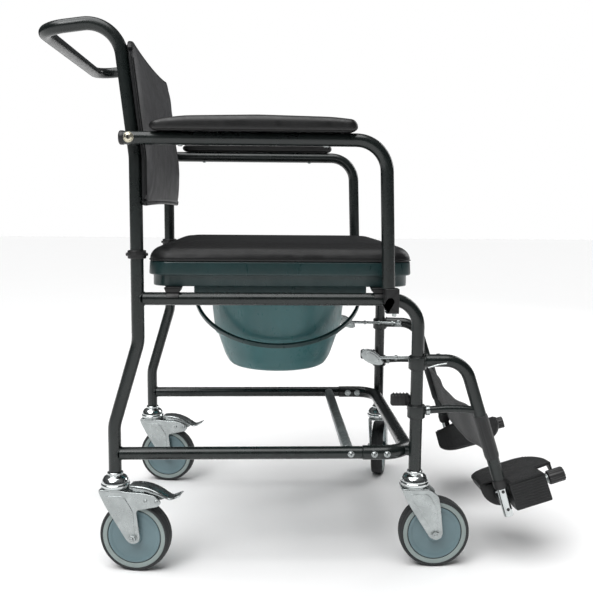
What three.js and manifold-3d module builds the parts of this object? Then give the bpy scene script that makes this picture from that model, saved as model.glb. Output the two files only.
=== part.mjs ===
// Wheeled commode chair: steel tube frame on four swivel castors, with a padded seat over a pail,
// flip-up arms, a push handle and a pair of swing-away footrests joined by a calf strap.
// Millimetres. +X points forwards, +Y to the sitter's left, +Z up. Z = 0 is the floor.
import * as THREE from 'three';
import { mergeVertices } from 'three/addons/utils/BufferGeometryUtils.js';
import { ConvexGeometry } from 'three/addons/geometries/ConvexGeometry.js';
import Module from 'manifold-3d';

const wasm = await Module();
wasm.setup();

// ---------------------------------------------------------------- driving dimensions
const GAP = 0.3;                    // clearance between pieces that touch
const RIGHT = -1;                   // side signs along Y
const LEFT = 1;
const SIDES = [[RIGHT, 'right'], [LEFT, 'left']];

const TUBE_R = 11;                  // 22 mm frame tube
const TUBE_SIDES = 10;
const TRACK = 230;                  // half of the leg spacing across the chair
const MID_PLANE_Y = -23;            // the box's middle is off it: the left front castor trails outwards

const REAR_FOOT_X = -337;           // rear leg at the castor
const POST_X = -294;                // rear leg and back post above the kink
const FRONT_LEG_X = 186;
const LEG_BOTTOM_Z = 174;
const LOWER_RAIL_Z = 205;
const KINK_LOW_Z = 255;
const KINK_HIGH_Z = 400;
const SEAT_RAIL_Z = 475;
const RAIL_BEND_R = 48;
const COLLAR_Z = 550;               // joint between rear leg and back post

const SLEEVE_R = 12.5;              // front U tube, slipped over the lower rails
const SLEEVE_X = 93;
const U_TUBE_X = 175;
const U_BEND_R = 45;
const CROSS_BAR_X = 69;
const CROSS_BAR_R = 10;

const BACK_KINK_Z = 712;            // where the post starts to lean back
const HANDLE_CORNER = [-320, 932.6];
const HANDLE_REAR = [-446, 915];
const HANDLE_BEND_R = 55;
const HANDLE_PLAN_R = 42;
const BACK_PAD = { low: 634, high: 900, halfWidth: 215, rear: -10, front: 24 };
const BACK_WING = { halfWidth: 241, rear: 11.8, front: 18 };  // the part that lies across the posts

const ARM_Y = 256;
const ARM_Z = 741;
const ARM_REAR_X = -314;
const ARM_PIVOT_X = -299;
const ARM_CORNER_X = 121;
const ARM_FOOT = [129, 497];
const ARM_BEND_R = 52;
const ARM_PAD = { rear: -266, front: 72, inner: 246, outer: 282, low: 752.6, high: 779 };
const LATCH = { rear: 122, front: 146, inner: 244, outer: 268, low: 455 };
const STUD = { x: 131, r: 4 };
const BUTTON = { x: 139.5, r: 3.6, low: 449, high: 463 };

const SEAT = { rear: -280, front: 178, halfWidth: 225, corner: 42 };
const SEAT_LIP_Z = 495;
const SEAT_STEP_Z = 514;
const SEAT_DECK_Z = 530;
const SEAT_SEAM_Z = 538;
const SEAT_TOP_Z = 570;
const SEAT_LIP_INSET = 7;
const SEAT_WALL = 4;
const SEAT_HOLE = { halfLength: 140, halfWidth: 105 };
const CLIP_X = [-234, 118];

const PAIL_X = -53;
const PAIL_R = 131;                 // outside of the wall below the rim
const PAIL_FACETS = 24;
const PAIL_RIM_R = 150;
const PAIL_RIM_Z = 479;
const PAIL_RIM_H = 7;
const PAIL_WALL = 3;
const BAIL_R = 162;
const BAIL_Z = 471;
const BAIL_DROP = 33;               // degrees below level where the bail rests
const GUIDE = { rear: -205, front: 104, inner: 153, ledge: 141, low: 474, high: 529.6 };

const WHEEL_R = 62.5;
const TYRE_FACETS = 24;
const WHEEL_Z = WHEEL_R * Math.cos(Math.PI / TYRE_FACETS);
const TYRE_HALF = 14;
const HUB_R = 47;
const AXLE_R = 5.5;
const TRAIL = 36;
const FORK_TOP_Z = 147.6;
const FORK_INNER = 17;
const FORK_SHEET = 3;
const CUP_TOP_Z = 173.7;
const PEDAL_PIVOT = [46, 135];
const CASTORS = [
  { name: 'rear_right', x: REAR_FOOT_X, y: -TRACK, yaw: -10, brake: true },
  { name: 'rear_left', x: REAR_FOOT_X, y: TRACK, yaw: -10, brake: true },
  { name: 'front_right', x: FRONT_LEG_X, y: -TRACK, yaw: 0, brake: false },
  { name: 'front_left', x: FRONT_LEG_X, y: TRACK, yaw: 77, brake: false },
];

// Footrests are measured from the front leg's axis: x forwards, y inwards.
const HANGER_Z = 368.5;
const HANGER_CORNER_X = 82;
const HANGER_BEND_R = 45;
const HANGER_RAKE = 17.7;           // degrees from vertical
const HANGER_SIGHT = [107, 290];    // a point on the sloping tube's axis
const HANGER_LENGTH = 157;          // from that point to the tube's lower end
const HANGER_RINGS = [[354, 376], [268, 290]];
const RING_OUTER_R = 15.5;
const STAY_Z = 281;
const STAY_R = 7;
const EXTENSION_R = 8.6;
const EXTENSION_TOP = 20;           // inside the hanger, from the sight point
const ROD_S = 183;                  // footplate rod, from the sight point
const EXTENSION_TAIL = 28;          // tube below the rod
const ROD_R = 5.5;
const ROD_IN = 37;                  // rod inside of the tube
const ROD_LENGTH = 95;
const KNOB = { from: 93, to: 124, r: 13 };
const PLATE = { rear: -28, front: 110, inner: 116, top: 24, sheet: 5.5 };
const PLATE_CORNER = { along: 48, across: 80, rear: 40 };
const PLATE_BLOCK = { rear: 14, front: 80, outer: -48, depth: 50, wall: 6 };
const PLATE_NOTCH = 7;
const PLATE_TILT = 8;               // degrees, inner edge down
const LEVER = { x: 41, y: 20, low: 366.4, high: 373 };
const TOE_IN = [[RIGHT, 0], [LEFT, 8]];  // how far each footrest is turned inwards, degrees
const STRAP = { top: 20, bottom: 100, half: 2, sag: 15 };

// ---------------------------------------------------------------- materials
const paint = (color, roughness, metalness) =>
  new THREE.MeshStandardMaterial({ color, roughness, metalness });
const FRAME_PAINT = paint(0x2b3332, 0.38, 0.6);
const BLACK_PLASTIC = paint(0x151616, 0.5, 0);
const VINYL = paint(0x1b1d1e, 0.42, 0);
const BACK_VINYL = paint(0x3c3f41, 0.5, 0);
const TEAL_PLASTIC = paint(0x2c5a59, 0.4, 0);
const PAIL_PLASTIC = paint(0x6fb6b4, 0.35, 0);
const ZINC = paint(0xb9bfc0, 0.25, 1);
const HUB_PLASTIC = paint(0x6f8f96, 0.5, 0);
const RUBBER = paint(0x1f2222, 0.8, 0);
const WEBBING = paint(0x55585a, 0.9, 0);
const PLATE_PLASTIC = paint(0x3d4142, 0.6, 0);
const GREY_PAINT = paint(0x8b9596, 0.4, 0.3);

// ---------------------------------------------------------------- shape helpers
const radians = THREE.MathUtils.degToRad;

// A run of straight tube between corners, each corner rounded to its own bend radius.
class BentPath extends THREE.Curve {
  constructor(corners, bends, stepDegrees = 22.5) {
    super();
    const points = corners.map((c) => new THREE.Vector3(...c));
    this.nodes = [points[0]];
    for (let i = 1; i < points.length - 1; i++) {
      this.nodes.push(...BentPath.round(points[i - 1], points[i], points[i + 1], bends[i - 1], stepDegrees));
    }
    this.nodes.push(points[points.length - 1]);
  }

  static round(before, corner, after, radius, stepDegrees) {
    const inward = corner.clone().sub(before).normalize();
    const outward = after.clone().sub(corner).normalize();
    const turn = inward.angleTo(outward);
    const reach = radius * Math.tan(turn / 2);
    const start = corner.clone().addScaledVector(inward, -reach);
    const toCentre = outward.clone().addScaledVector(inward, -outward.dot(inward)).normalize();
    const centre = start.clone().addScaledVector(toCentre, radius);
    const steps = Math.max(2, Math.ceil(THREE.MathUtils.radToDeg(turn) / stepDegrees));
    const nodes = [];
    for (let k = 0; k <= steps; k++) {
      const angle = (turn * k) / steps;
      nodes.push(centre.clone()
        .addScaledVector(toCentre, -radius * Math.cos(angle))
        .addScaledVector(inward, radius * Math.sin(angle)));
    }
    return nodes;
  }

  getPoint(t) {
    const place = t * (this.nodes.length - 1);
    const i = Math.min(Math.floor(place), this.nodes.length - 2);
    return this.nodes[i].clone().lerp(this.nodes[i + 1], place - i);
  }

  getTangent(t) {
    const i = Math.round(t * (this.nodes.length - 1));
    const before = this.nodes[Math.max(i - 1, 0)];
    const after = this.nodes[Math.min(i + 1, this.nodes.length - 1)];
    const here = this.nodes[i];
    const tangent = new THREE.Vector3();
    if (i > 0) tangent.add(here.clone().sub(before).normalize());
    if (i < this.nodes.length - 1) tangent.add(after.clone().sub(here).normalize());
    return tangent.normalize();
  }

  getPointAt(u) {
    return this.getPoint(u);
  }

  getTangentAt(u) {
    return this.getTangent(u);
  }
}

function polygon(radius, sides) {
  const points = [];
  for (let i = 0; i < sides; i++) {
    const angle = (2 * Math.PI * (i + 0.5)) / sides;
    points.push(new THREE.Vector2(radius * Math.cos(angle), radius * Math.sin(angle)));
  }
  return new THREE.Shape(points);
}

function bentTube(corners, bends, radius = TUBE_R, sides = TUBE_SIDES) {
  const path = new BentPath(corners, bends);
  return new THREE.ExtrudeGeometry(polygon(radius, sides), {
    steps: path.nodes.length - 1, extrudePath: path, bevelEnabled: false,
  });
}

function rod(from, to, radius, sides = TUBE_SIDES) {
  return bentTube([from, to], [], radius, sides);
}

// The corner radius of a faceted bore that a rod of this radius passes through with a gap.
function boreFor(radius, facets) {
  return (radius + GAP) / Math.cos(Math.PI / facets);
}

function box(x0, x1, y0, y1, z0, z1) {
  const shape = new THREE.BoxGeometry(x1 - x0, Math.abs(y1 - y0), z1 - z0);
  return shape.translate((x0 + x1) / 2, (y0 + y1) / 2, (z0 + z1) / 2);
}

// Turned about the Z axis; the profile lists [radius, z] and starts and ends on the axis or closes.
function turned(profile, facets) {
  const points = profile.map(([r, z]) => new THREE.Vector2(r, z));
  return new THREE.LatheGeometry(points, facets).rotateX(Math.PI / 2);
}

function ring(inner, outer, z0, z1, facets) {
  return turned([[inner, z0], [outer, z0], [outer, z1], [inner, z1], [inner, z0]], facets);
}

// An outline in the XZ plane, given thickness along Y.
function plate(outline, y0, y1, bevel = 0) {
  const shape = new THREE.Shape(outline.map(([x, z]) => new THREE.Vector2(x, z)));
  const low = Math.min(y0, y1) + bevel;
  const high = Math.max(y0, y1) - bevel;
  const solid = new THREE.ExtrudeGeometry(shape, {
    depth: high - low, steps: 1, bevelEnabled: bevel > 0,
    bevelSize: bevel, bevelThickness: bevel, bevelOffset: -bevel, bevelSegments: 2,
  });
  return solid.rotateX(Math.PI / 2).translate(0, high, 0);
}

function roundedOutline(x0, x1, halfWidth, corner, target = new THREE.Shape()) {
  target.moveTo(x0 + corner, -halfWidth);
  target.lineTo(x1 - corner, -halfWidth);
  target.absarc(x1 - corner, -halfWidth + corner, corner, -Math.PI / 2, 0);
  target.absarc(x1 - corner, halfWidth - corner, corner, 0, Math.PI / 2);
  target.absarc(x0 + corner, halfWidth - corner, corner, Math.PI / 2, Math.PI);
  target.absarc(x0 + corner, -halfWidth + corner, corner, Math.PI, 1.5 * Math.PI);
  return target;
}

// A wall or deck with the seat's plan shape: inset from the seat's edge, with an optional hole.
function seatLayer(inset, z0, z1, holeInset) {
  const shape = roundedOutline(SEAT.rear + inset, SEAT.front - inset,
    SEAT.halfWidth - inset, SEAT.corner - inset * 0.6);
  if (holeInset !== undefined) {
    shape.holes.push(roundedOutline(SEAT.rear + holeInset, SEAT.front - holeInset,
      SEAT.halfWidth - holeInset, SEAT.corner - holeInset * 0.6, new THREE.Path()));
  }
  const layer = new THREE.ExtrudeGeometry(shape, {
    depth: z1 - z0, steps: 1, bevelEnabled: false, curveSegments: 3,
  });
  return layer.translate(0, 0, z0);
}

function signedVolume(geometry) {
  const p = geometry.attributes.position;
  const index = geometry.index;
  const corner = [new THREE.Vector3(), new THREE.Vector3(), new THREE.Vector3()];
  let volume = 0;
  for (let i = 0; i < index.count; i += 3) {
    corner.forEach((v, k) => v.fromBufferAttribute(p, index.getX(i + k)));
    volume += corner[0].dot(corner[1].clone().cross(corner[2])) / 6;
  }
  return volume;
}

// Shared vertices merged, faces pointing out.
function closed(geometry) {
  const bare = geometry.clone();
  Object.keys(bare.attributes).filter((key) => key !== 'position')
    .forEach((key) => bare.deleteAttribute(key));
  const merged = mergeVertices(bare, 1e-4);
  const kept = [];
  for (let i = 0; i < merged.index.count; i += 3) {
    const [a, b, c] = [0, 1, 2].map((k) => merged.index.getX(i + k));
    if (a !== b && b !== c && c !== a) kept.push(a, b, c);
  }
  merged.setIndex(kept);
  if (signedVolume(merged) < 0) {
    for (let i = 0; i < kept.length; i += 3) [kept[i], kept[i + 1]] = [kept[i + 1], kept[i]];
    merged.setIndex(kept);
  }
  return merged;
}

function toManifold(geometry) {
  const shape = closed(geometry);
  return new wasm.Manifold(new wasm.Mesh({
    numProp: 3,
    vertProperties: new Float32Array(shape.attributes.position.array),
    triVerts: new Uint32Array(shape.index.array),
  }));
}

function fromManifold(solid) {
  const mesh = solid.getMesh();
  const geometry = new THREE.BufferGeometry();
  geometry.setAttribute('position', new THREE.BufferAttribute(new Float32Array(mesh.vertProperties), 3));
  geometry.setIndex(Array.from(mesh.triVerts));
  return geometry;
}

function join(...geometries) {
  return fromManifold(geometries.map(toManifold).reduce((sum, next) => sum.add(next)));
}

function cut(geometry, ...tools) {
  return fromManifold(tools.map(toManifold).reduce((rest, tool) => rest.subtract(tool), toManifold(geometry)));
}

function place(parent, name, geometry, material) {
  const mesh = new THREE.Mesh(closed(geometry), material);
  mesh.name = name;
  parent.add(mesh);
  return mesh;
}

const chair = new THREE.Group();
chair.position.y = MID_PLANE_Y;

// ---------------------------------------------------------------- main frame
// Rear leg with the lower rail welded to it.
function rearLeg(side) {
  const y = side * TRACK;
  const leg = bentTube([
    [REAR_FOOT_X, y, LEG_BOTTOM_Z], [REAR_FOOT_X, y, KINK_LOW_Z],
    [POST_X, y, KINK_HIGH_Z], [POST_X, y, COLLAR_Z - GAP / 2],
  ], [60, 60]);
  const rail = rod([REAR_FOOT_X + TUBE_R / 2, y, LOWER_RAIL_Z], [SLEEVE_X - GAP, y, LOWER_RAIL_Z], TUBE_R);
  return join(leg, rail);
}

// Seat rail and front leg are one tube, with the stud that the arm's latch hooks over.
function sideRail(side) {
  const y = side * TRACK;
  const tube = bentTube([
    [POST_X + TUBE_R + GAP, y, SEAT_RAIL_Z], [FRONT_LEG_X, y, SEAT_RAIL_Z], [FRONT_LEG_X, y, LEG_BOTTOM_Z],
  ], [RAIL_BEND_R]);
  const stud = rod([STUD.x, y, SEAT_RAIL_Z], [STUD.x, side * (LATCH.outer - 4), SEAT_RAIL_Z], STUD.r, 8);
  return join(tube, stud);
}

function postCollar(side) {
  const collar = ring(boreFor(TUBE_R, TUBE_SIDES), 15.5, -7, 7, TUBE_SIDES);
  const pin = rod([14, 0, 0], [19, 0, 0], 3, 8);
  return join(collar, pin).translate(POST_X, side * TRACK, COLLAR_Z);
}

function backFrame() {
  const half = (side) => [
    [POST_X, side * TRACK, COLLAR_Z + GAP / 2], [POST_X, side * TRACK, BACK_KINK_Z],
    [HANDLE_CORNER[0], side * TRACK, HANDLE_CORNER[1]], [HANDLE_REAR[0], side * TRACK, HANDLE_REAR[1]],
  ];
  const corners = [...half(RIGHT), ...half(LEFT).reverse()];
  return bentTube(corners, [90, HANDLE_BEND_R, HANDLE_PLAN_R, HANDLE_PLAN_R, HANDLE_BEND_R, 90]);
}

// The X of the back post's axis at a given height.
function postAxisX(z) {
  const lean = (HANDLE_CORNER[0] - POST_X) / (HANDLE_CORNER[1] - BACK_KINK_Z);
  return POST_X + Math.max(0, z - BACK_KINK_Z) * lean;
}

function backUpholstery() {
  const levels = [BACK_PAD.low, BACK_KINK_Z, BACK_PAD.high];
  const layer = (halfWidth, rear, front) => {
    const ahead = levels.map((z) => [postAxisX(z) + front, z]);
    const behind = levels.map((z) => [postAxisX(z) + rear, z]);
    return plate([...ahead, ...behind.reverse()], -halfWidth, halfWidth);
  };
  return join(layer(BACK_PAD.halfWidth, BACK_PAD.rear, BACK_PAD.front),
    layer(BACK_WING.halfWidth, BACK_WING.rear, BACK_WING.front));
}

for (const [side, name] of SIDES) {
  place(chair, `rear_leg_lower_rail_${name}`, rearLeg(side), FRAME_PAINT);
  place(chair, `side_rail_front_leg_${name}`, sideRail(side), FRAME_PAINT);
  place(chair, `post_collar_${name}`, postCollar(side), BLACK_PLASTIC);
}
place(chair, 'lower_cross_bar',
  rod([CROSS_BAR_X, -TRACK + TUBE_R + GAP, LOWER_RAIL_Z], [CROSS_BAR_X, TRACK - TUBE_R - GAP, LOWER_RAIL_Z],
    CROSS_BAR_R), GREY_PAINT);
place(chair, 'front_u_tube', bentTube([
  [SLEEVE_X, -TRACK, LOWER_RAIL_Z], [U_TUBE_X, -TRACK, LOWER_RAIL_Z],
  [U_TUBE_X, TRACK, LOWER_RAIL_Z], [SLEEVE_X, TRACK, LOWER_RAIL_Z],
], [U_BEND_R, U_BEND_R], SLEEVE_R), FRAME_PAINT);
place(chair, 'back_frame', backFrame(), FRAME_PAINT);
place(chair, 'back_upholstery', backUpholstery(), BACK_VINYL);

// ---------------------------------------------------------------- flip-up arms
function armTube(side) {
  const y = side * ARM_Y;
  const tube = bentTube([
    [ARM_REAR_X, y, ARM_Z], [ARM_CORNER_X, y, ARM_Z], [ARM_FOOT[0], y, ARM_FOOT[1]],
  ], [ARM_BEND_R]);
  return cut(tube, rod([ARM_PIVOT_X, y - 20, ARM_Z], [ARM_PIVOT_X, y + 20, ARM_Z], 4.6));
}

function armPad(side) {
  const { rear, front, inner, outer, low, high } = ARM_PAD;
  const outline = [
    [rear, low + 4], [rear + 4, low], [front - 6, low], [front, low + 6],
    [front - 2, high - 13], [front - 20, high - 3], [-90, high], [rear + 40, high - 2],
    [rear + 8, high - 5], [rear, high - 12],
  ];
  return plate(outline, side * inner, side * outer, 5);
}

// A fixed bolt through the arm, with a spacer against the post and a domed head outside.
function armBolt(side) {
  const profile = [
    [0, 0], [9, 0], [9, 3.2], [4, 3.2], [4, 26.4], [8, 26.4], [7, 29], [4, 31], [0, 31.5],
  ];
  return turned(profile, TUBE_SIDES)
    .rotateX(-side * Math.PI / 2)
    .translate(ARM_PIVOT_X, side * (TRACK + TUBE_R + GAP), ARM_Z);
}

function armLatch(side) {
  const { rear, front, inner, outer, low } = LATCH;
  const block = box(rear, front, side * inner, side * outer, low, ARM_FOOT[1] - GAP);
  const slot = box(-4.6, 4.6, -20, 20, -40, 0).rotateY(radians(30))
    .translate(STUD.x, side * ARM_Y, SEAT_RAIL_Z);
  const seat = rod([STUD.x, side * (inner - 2), SEAT_RAIL_Z], [STUD.x, side * (outer + 2), SEAT_RAIL_Z], 4.6);
  const bore = rod([BUTTON.x, side * ARM_Y, low - 5], [BUTTON.x, side * ARM_Y, BUTTON.high + 5], 4.2);
  return cut(block, slot, seat, bore);
}

for (const [side, name] of SIDES) {
  place(chair, `arm_tube_${name}`, armTube(side), FRAME_PAINT);
  place(chair, `arm_pad_${name}`, armPad(side), BLACK_PLASTIC);
  place(chair, `arm_pivot_bolt_${name}`, armBolt(side), ZINC);
  place(chair, `arm_latch_${name}`, armLatch(side), BLACK_PLASTIC);
  place(chair, `arm_latch_button_${name}`,
    rod([BUTTON.x, side * ARM_Y, BUTTON.low], [BUTTON.x, side * ARM_Y, BUTTON.high], BUTTON.r), ZINC);
}

// ---------------------------------------------------------------- seat, pail and guides
function seatBase() {
  const lip = seatLayer(SEAT_LIP_INSET, SEAT_LIP_Z, SEAT_DECK_Z + 1, SEAT_LIP_INSET + SEAT_WALL);
  const step = seatLayer(0, SEAT_STEP_Z, SEAT_SEAM_Z, SEAT_LIP_INSET + SEAT_WALL);
  const deck = seatLayer(SEAT_LIP_INSET, SEAT_DECK_Z, SEAT_SEAM_Z);
  const opening = new THREE.CylinderGeometry(1, 1, 60, 20).rotateX(Math.PI / 2)
    .scale(SEAT_HOLE.halfLength, SEAT_HOLE.halfWidth, 1).translate(PAIL_X, 0, SEAT_SEAM_Z);
  return cut(join(lip, step, deck), opening);
}

function seatPad() {
  const bevel = 9;
  const outline = roundedOutline(SEAT.rear, SEAT.front, SEAT.halfWidth, SEAT.corner);
  const base = SEAT_SEAM_Z + GAP;
  const pad = new THREE.ExtrudeGeometry(outline, {
    depth: SEAT_TOP_Z - base - 2 * bevel, steps: 1, bevelEnabled: true, curveSegments: 4,
    bevelSize: bevel, bevelThickness: bevel, bevelOffset: -bevel, bevelSegments: 2,
  });
  return pad.translate(0, 0, base + bevel);
}

function seatClip(x, side) {
  const low = SEAT_RAIL_Z + TUBE_R + 0.4;
  const high = SEAT_LIP_Z - GAP;
  return plate([[x - 11, low], [x + 11, low], [x + 15, high], [x - 15, high]], side * 207, side * 240);
}

// A channel under the seat that the pail's rim slides in.
function panGuide(side) {
  const { rear, front, inner, ledge, low, high } = GUIDE;
  const web = box(rear, front, side * inner, side * (inner + 4), low, high);
  const shelf = box(rear, front, side * ledge, side * (inner + 2), low, low + 4);
  const stop = box(front - 4, front, side * ledge, side * (inner + 2), low + 2, high - 30);
  return join(web, shelf, stop);
}

function pail() {
  const top = PAIL_RIM_Z + PAIL_RIM_H;
  const inner = PAIL_R - PAIL_WALL;
  const profile = [
    [0, 319], [90, 319], [103, 336], [117, 378], [124, 390], [PAIL_R, 449], [PAIL_R, top],
    [inner, top], [inner, 449], [117 - PAIL_WALL, 379], [103 - PAIL_WALL, 338], [88, 322], [0, 322],
  ];
  return turned(profile, PAIL_FACETS).translate(PAIL_X, 0, 0);
}

// The flange that slides in the guides, with an ear and a pin at each end for the bail.
function pailRim() {
  const flange = ring(PAIL_R + GAP, PAIL_RIM_R, PAIL_RIM_Z, PAIL_RIM_Z + PAIL_RIM_H, PAIL_FACETS);
  const ears = [-1, 1].flatMap((end) => [
    box(Math.min(end * 146, end * 158), Math.max(end * 146, end * 158), -9, 9, BAIL_Z - 7, PAIL_RIM_Z + 3),
    rod([end * 156, 0, BAIL_Z], [end * 166, 0, BAIL_Z], 2.8, 8),
  ]);
  return join(flange, ...ears).translate(PAIL_X, 0, 0);
}

// Half-round carrying handle, drawn level and then dropped to where it hangs at the right side.
function bail() {
  const nodes = [[-BAIL_R, 0, 0]];
  for (let i = 0; i <= 12; i++) {
    const angle = Math.PI * (1 - i / 12);
    nodes.push([BAIL_R * Math.cos(angle), -BAIL_R * Math.sin(angle) - 8, 0]);
  }
  nodes.push([BAIL_R, 0, 0]);
  const path = new BentPath(nodes, nodes.slice(2).map(() => 1), 90);
  const section = new THREE.Shape([[-4.5, -3], [4.5, -3], [4.5, 3], [-4.5, 3]]
    .map(([a, b]) => new THREE.Vector2(a, b)));
  const strip = new THREE.ExtrudeGeometry(section, {
    steps: path.nodes.length - 1, extrudePath: path, bevelEnabled: false,
  });
  const eyes = [-1, 1].map((end) => rod([end * (BAIL_R - 3), 0, 0], [end * (BAIL_R + 3), 0, 0], 7));
  const bores = [-1, 1].map((end) => rod([end * (BAIL_R - 6), 0, 0], [end * (BAIL_R + 6), 0, 0], 3.4, 8));
  return cut(join(strip, ...eyes), ...bores)
    .rotateX(radians(BAIL_DROP)).translate(PAIL_X, 0, BAIL_Z);
}

place(chair, 'seat_base', seatBase(), TEAL_PLASTIC);
place(chair, 'seat_pad', seatPad(), VINYL);
place(chair, 'pail', pail(), PAIL_PLASTIC);
place(chair, 'pail_rim', pailRim(), PAIL_PLASTIC);
place(chair, 'pail_bail', bail(), PAIL_PLASTIC);
for (const [side, name] of SIDES) {
  place(chair, `pan_guide_${name}`, panGuide(side), TEAL_PLASTIC);
  place(chair, `seat_clip_rear_${name}`, seatClip(CLIP_X[0], side), BLACK_PLASTIC);
  place(chair, `seat_clip_front_${name}`, seatClip(CLIP_X[1], side), BLACK_PLASTIC);
}

// ---------------------------------------------------------------- castors
// Each is drawn at the origin with its swivel axis on Z and its wheel trailing along +X.
function castorFork(brake) {
  const cheek = brake
    ? [[-24, 144], [-22, 136], [-10, 113], [26, 56], [37, 51], [47, 56], [49, 64], [43, 112],
      [82, 121], [88, 129], [78, 139], [58, 143], [24, 144]]
    : [[-24, 144], [-22, 136], [-10, 113], [26, 56], [37, 51], [47, 56], [49, 64], [44, 112], [40, 132], [24, 144]];
  const cheeks = [-1, 1].map((end) => plate(cheek, end * FORK_INNER, end * (FORK_INNER + FORK_SHEET)));
  const outer = FORK_INNER + FORK_SHEET;
  const crown = box(-24, 25, -outer, outer, 141.5, 144.5);
  const race = turned([[0, 144], [22, 144], [22, FORK_TOP_Z], [0, FORK_TOP_Z]], 16);
  const axle = rod([TRAIL, -outer - 5, WHEEL_Z], [TRAIL, outer + 5, WHEEL_Z], AXLE_R);
  return join(...cheeks, crown, race, axle);
}

function castorCup() {
  const base = FORK_TOP_Z + 0.4;
  return turned([
    [0, base], [25, base], [25, base + 5], [22, base + 14], [16, base + 21], [11.4, CUP_TOP_Z], [0, CUP_TOP_Z],
  ], 16);
}

function tyre() {
  const inner = boreFor(HUB_R, TYRE_FACETS);
  const profile = [
    [inner, -TYRE_HALF + 3], [WHEEL_R - 7, -TYRE_HALF], [WHEEL_R, -TYRE_HALF + 6],
    [WHEEL_R, TYRE_HALF - 6], [WHEEL_R - 7, TYRE_HALF], [inner, TYRE_HALF - 3], [inner, -TYRE_HALF + 3],
  ];
  return turned(profile, TYRE_FACETS).rotateZ(Math.PI / TYRE_FACETS).rotateX(Math.PI / 2);
}

function hub() {
  const bore = AXLE_R + 0.5;
  const profile = [
    [bore, -16], [14, -16], [15, -10], [HUB_R, -10], [HUB_R, 10], [15, 10], [14, 16], [bore, 16], [bore, -16],
  ];
  return turned(profile, 16).rotateX(Math.PI / 2);
}

// Sheet-metal foot lever over the wheel, pressed down to lock it.
function brakePedal() {
  const sheet = 2.5;
  const top = [[29, 153], [46, 153.5], [62, 151.5], [78, 145.5], [92, 137.5], [100, 133.5], [107, 136], [118, 141]];
  const under = top.map(([x, z]) => [x, z - sheet]).reverse();
  const tread = plate([...top, ...under], -15, 15);
  const [px, pz] = PEDAL_PIVOT;
  const lugs = [-1, 1].map((end) =>
    plate([[px - 5, pz - 4], [px + 5, pz - 4], [px + 12, 152], [px - 12, 152]], end * 12, end * 15));
  const pin = rod([px, -15, pz], [px, 15, pz], 3, 8);
  return join(tread, ...lugs, pin);
}

for (const { name, x, y, yaw, brake } of CASTORS) {
  const castor = new THREE.Group();
  castor.position.set(x, y, 0);
  castor.rotation.z = radians(yaw);
  chair.add(castor);
  place(castor, `castor_cup_${name}`, castorCup(), ZINC);
  place(castor, `castor_fork_${name}`, castorFork(brake), ZINC);
  const wheel = new THREE.Group();
  wheel.position.set(TRAIL, 0, WHEEL_Z);
  castor.add(wheel);
  place(wheel, `tyre_${name}`, tyre(), RUBBER);
  place(wheel, `hub_${name}`, hub(), HUB_PLASTIC);
  if (brake) place(castor, `brake_pedal_${name}`, brakePedal(), ZINC);
}

// ---------------------------------------------------------------- footrests
const RAKE = radians(HANGER_RAKE);
const DOWN = [Math.sin(RAKE), -Math.cos(RAKE)];

// A point on the sloping tube's axis, at a distance down it from the sight point.
function onSlope(s) {
  return [HANGER_SIGHT[0] + DOWN[0] * s, HANGER_SIGHT[1] + DOWN[1] * s];
}

function hanger(inward) {
  const [endX, endZ] = onSlope(HANGER_LENGTH);
  const tube = bentTube([[13, 0, HANGER_Z], [HANGER_CORNER_X, 0, HANGER_Z], [endX, 0, endZ]], [HANGER_BEND_R]);
  const [boreX, boreZ] = onSlope(7);
  const [mouthX, mouthZ] = onSlope(HANGER_LENGTH + 4);
  const bore = rod([boreX, 0, boreZ], [mouthX, 0, mouthZ], boreFor(EXTENSION_R, TUBE_SIDES));
  const rings = HANGER_RINGS.map(([z0, z1]) => rod([0, 0, z0], [0, 0, z1], RING_OUTER_R));
  const stay = rod([12, 0, STAY_Z], [HANGER_SIGHT[0], 0, STAY_Z], STAY_R, 8);
  const lug = box(LEVER.x - 8, LEVER.x + 8, inward * 6, inward * (LEVER.y + 6), 362, 366);
  const pivot = rod([LEVER.x, inward * LEVER.y, 365], [LEVER.x, inward * LEVER.y, 377], 3, 8);
  const grip = box(-43, -8, inward * 9, inward * 23, 285, 306);
  const root = box(-14, -4, inward * 8, inward * 16, 280, 300);
  const clearance = rod([0, 0, 260], [0, 0, 380], boreFor(TUBE_R, TUBE_SIDES));
  return cut(join(tube, ...rings, stay, lug, pivot, grip, root), bore, clearance);
}

function releaseLever(inward) {
  const { x, y, low, high } = LEVER;
  const mid = (low + high) / 2;
  const eye = ring(3.5, 7, low, high, 12).translate(x, inward * y, 0);
  const arm = rod([x - 5, inward * y, mid], [-66, inward * y, mid], 3, 8);
  const outline = [];
  for (let i = 0; i < 14; i++) {
    const angle = (2 * Math.PI * i) / 14;
    const along = 22 * Math.cos(angle);
    const across = 11 * Math.sin(angle);
    outline.push([-76 + along * 0.87 + across * 0.5, 370 - along * 0.5 + across * 0.87]);
  }
  return join(eye, arm, plate(outline, inward * (y - 2.5), inward * (y + 2.5)));
}

// Drawn about the rod's crossing point: x along the rod, z up the tube.
function extensionTube(inward) {
  const y = inward * ROD_IN;
  const tube = rod([0, 0, -EXTENSION_TAIL], [0, 0, ROD_S - EXTENSION_TOP], EXTENSION_R);
  const bracket = box(-8, 8, inward * -6, inward * (ROD_IN + 5.5), -9, 4);
  const axle = rod([-6, y, 0], [ROD_LENGTH, y, 0], ROD_R);
  const nut = rod([PLATE_BLOCK.front + 1, y, 0], [PLATE_BLOCK.front + 9, y, 0], 9, 6);
  const knob = rod([KNOB.from, y, 0], [KNOB.to, y, 0], KNOB.r, 14);
  return join(tube, bracket, axle, nut, knob);
}

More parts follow.
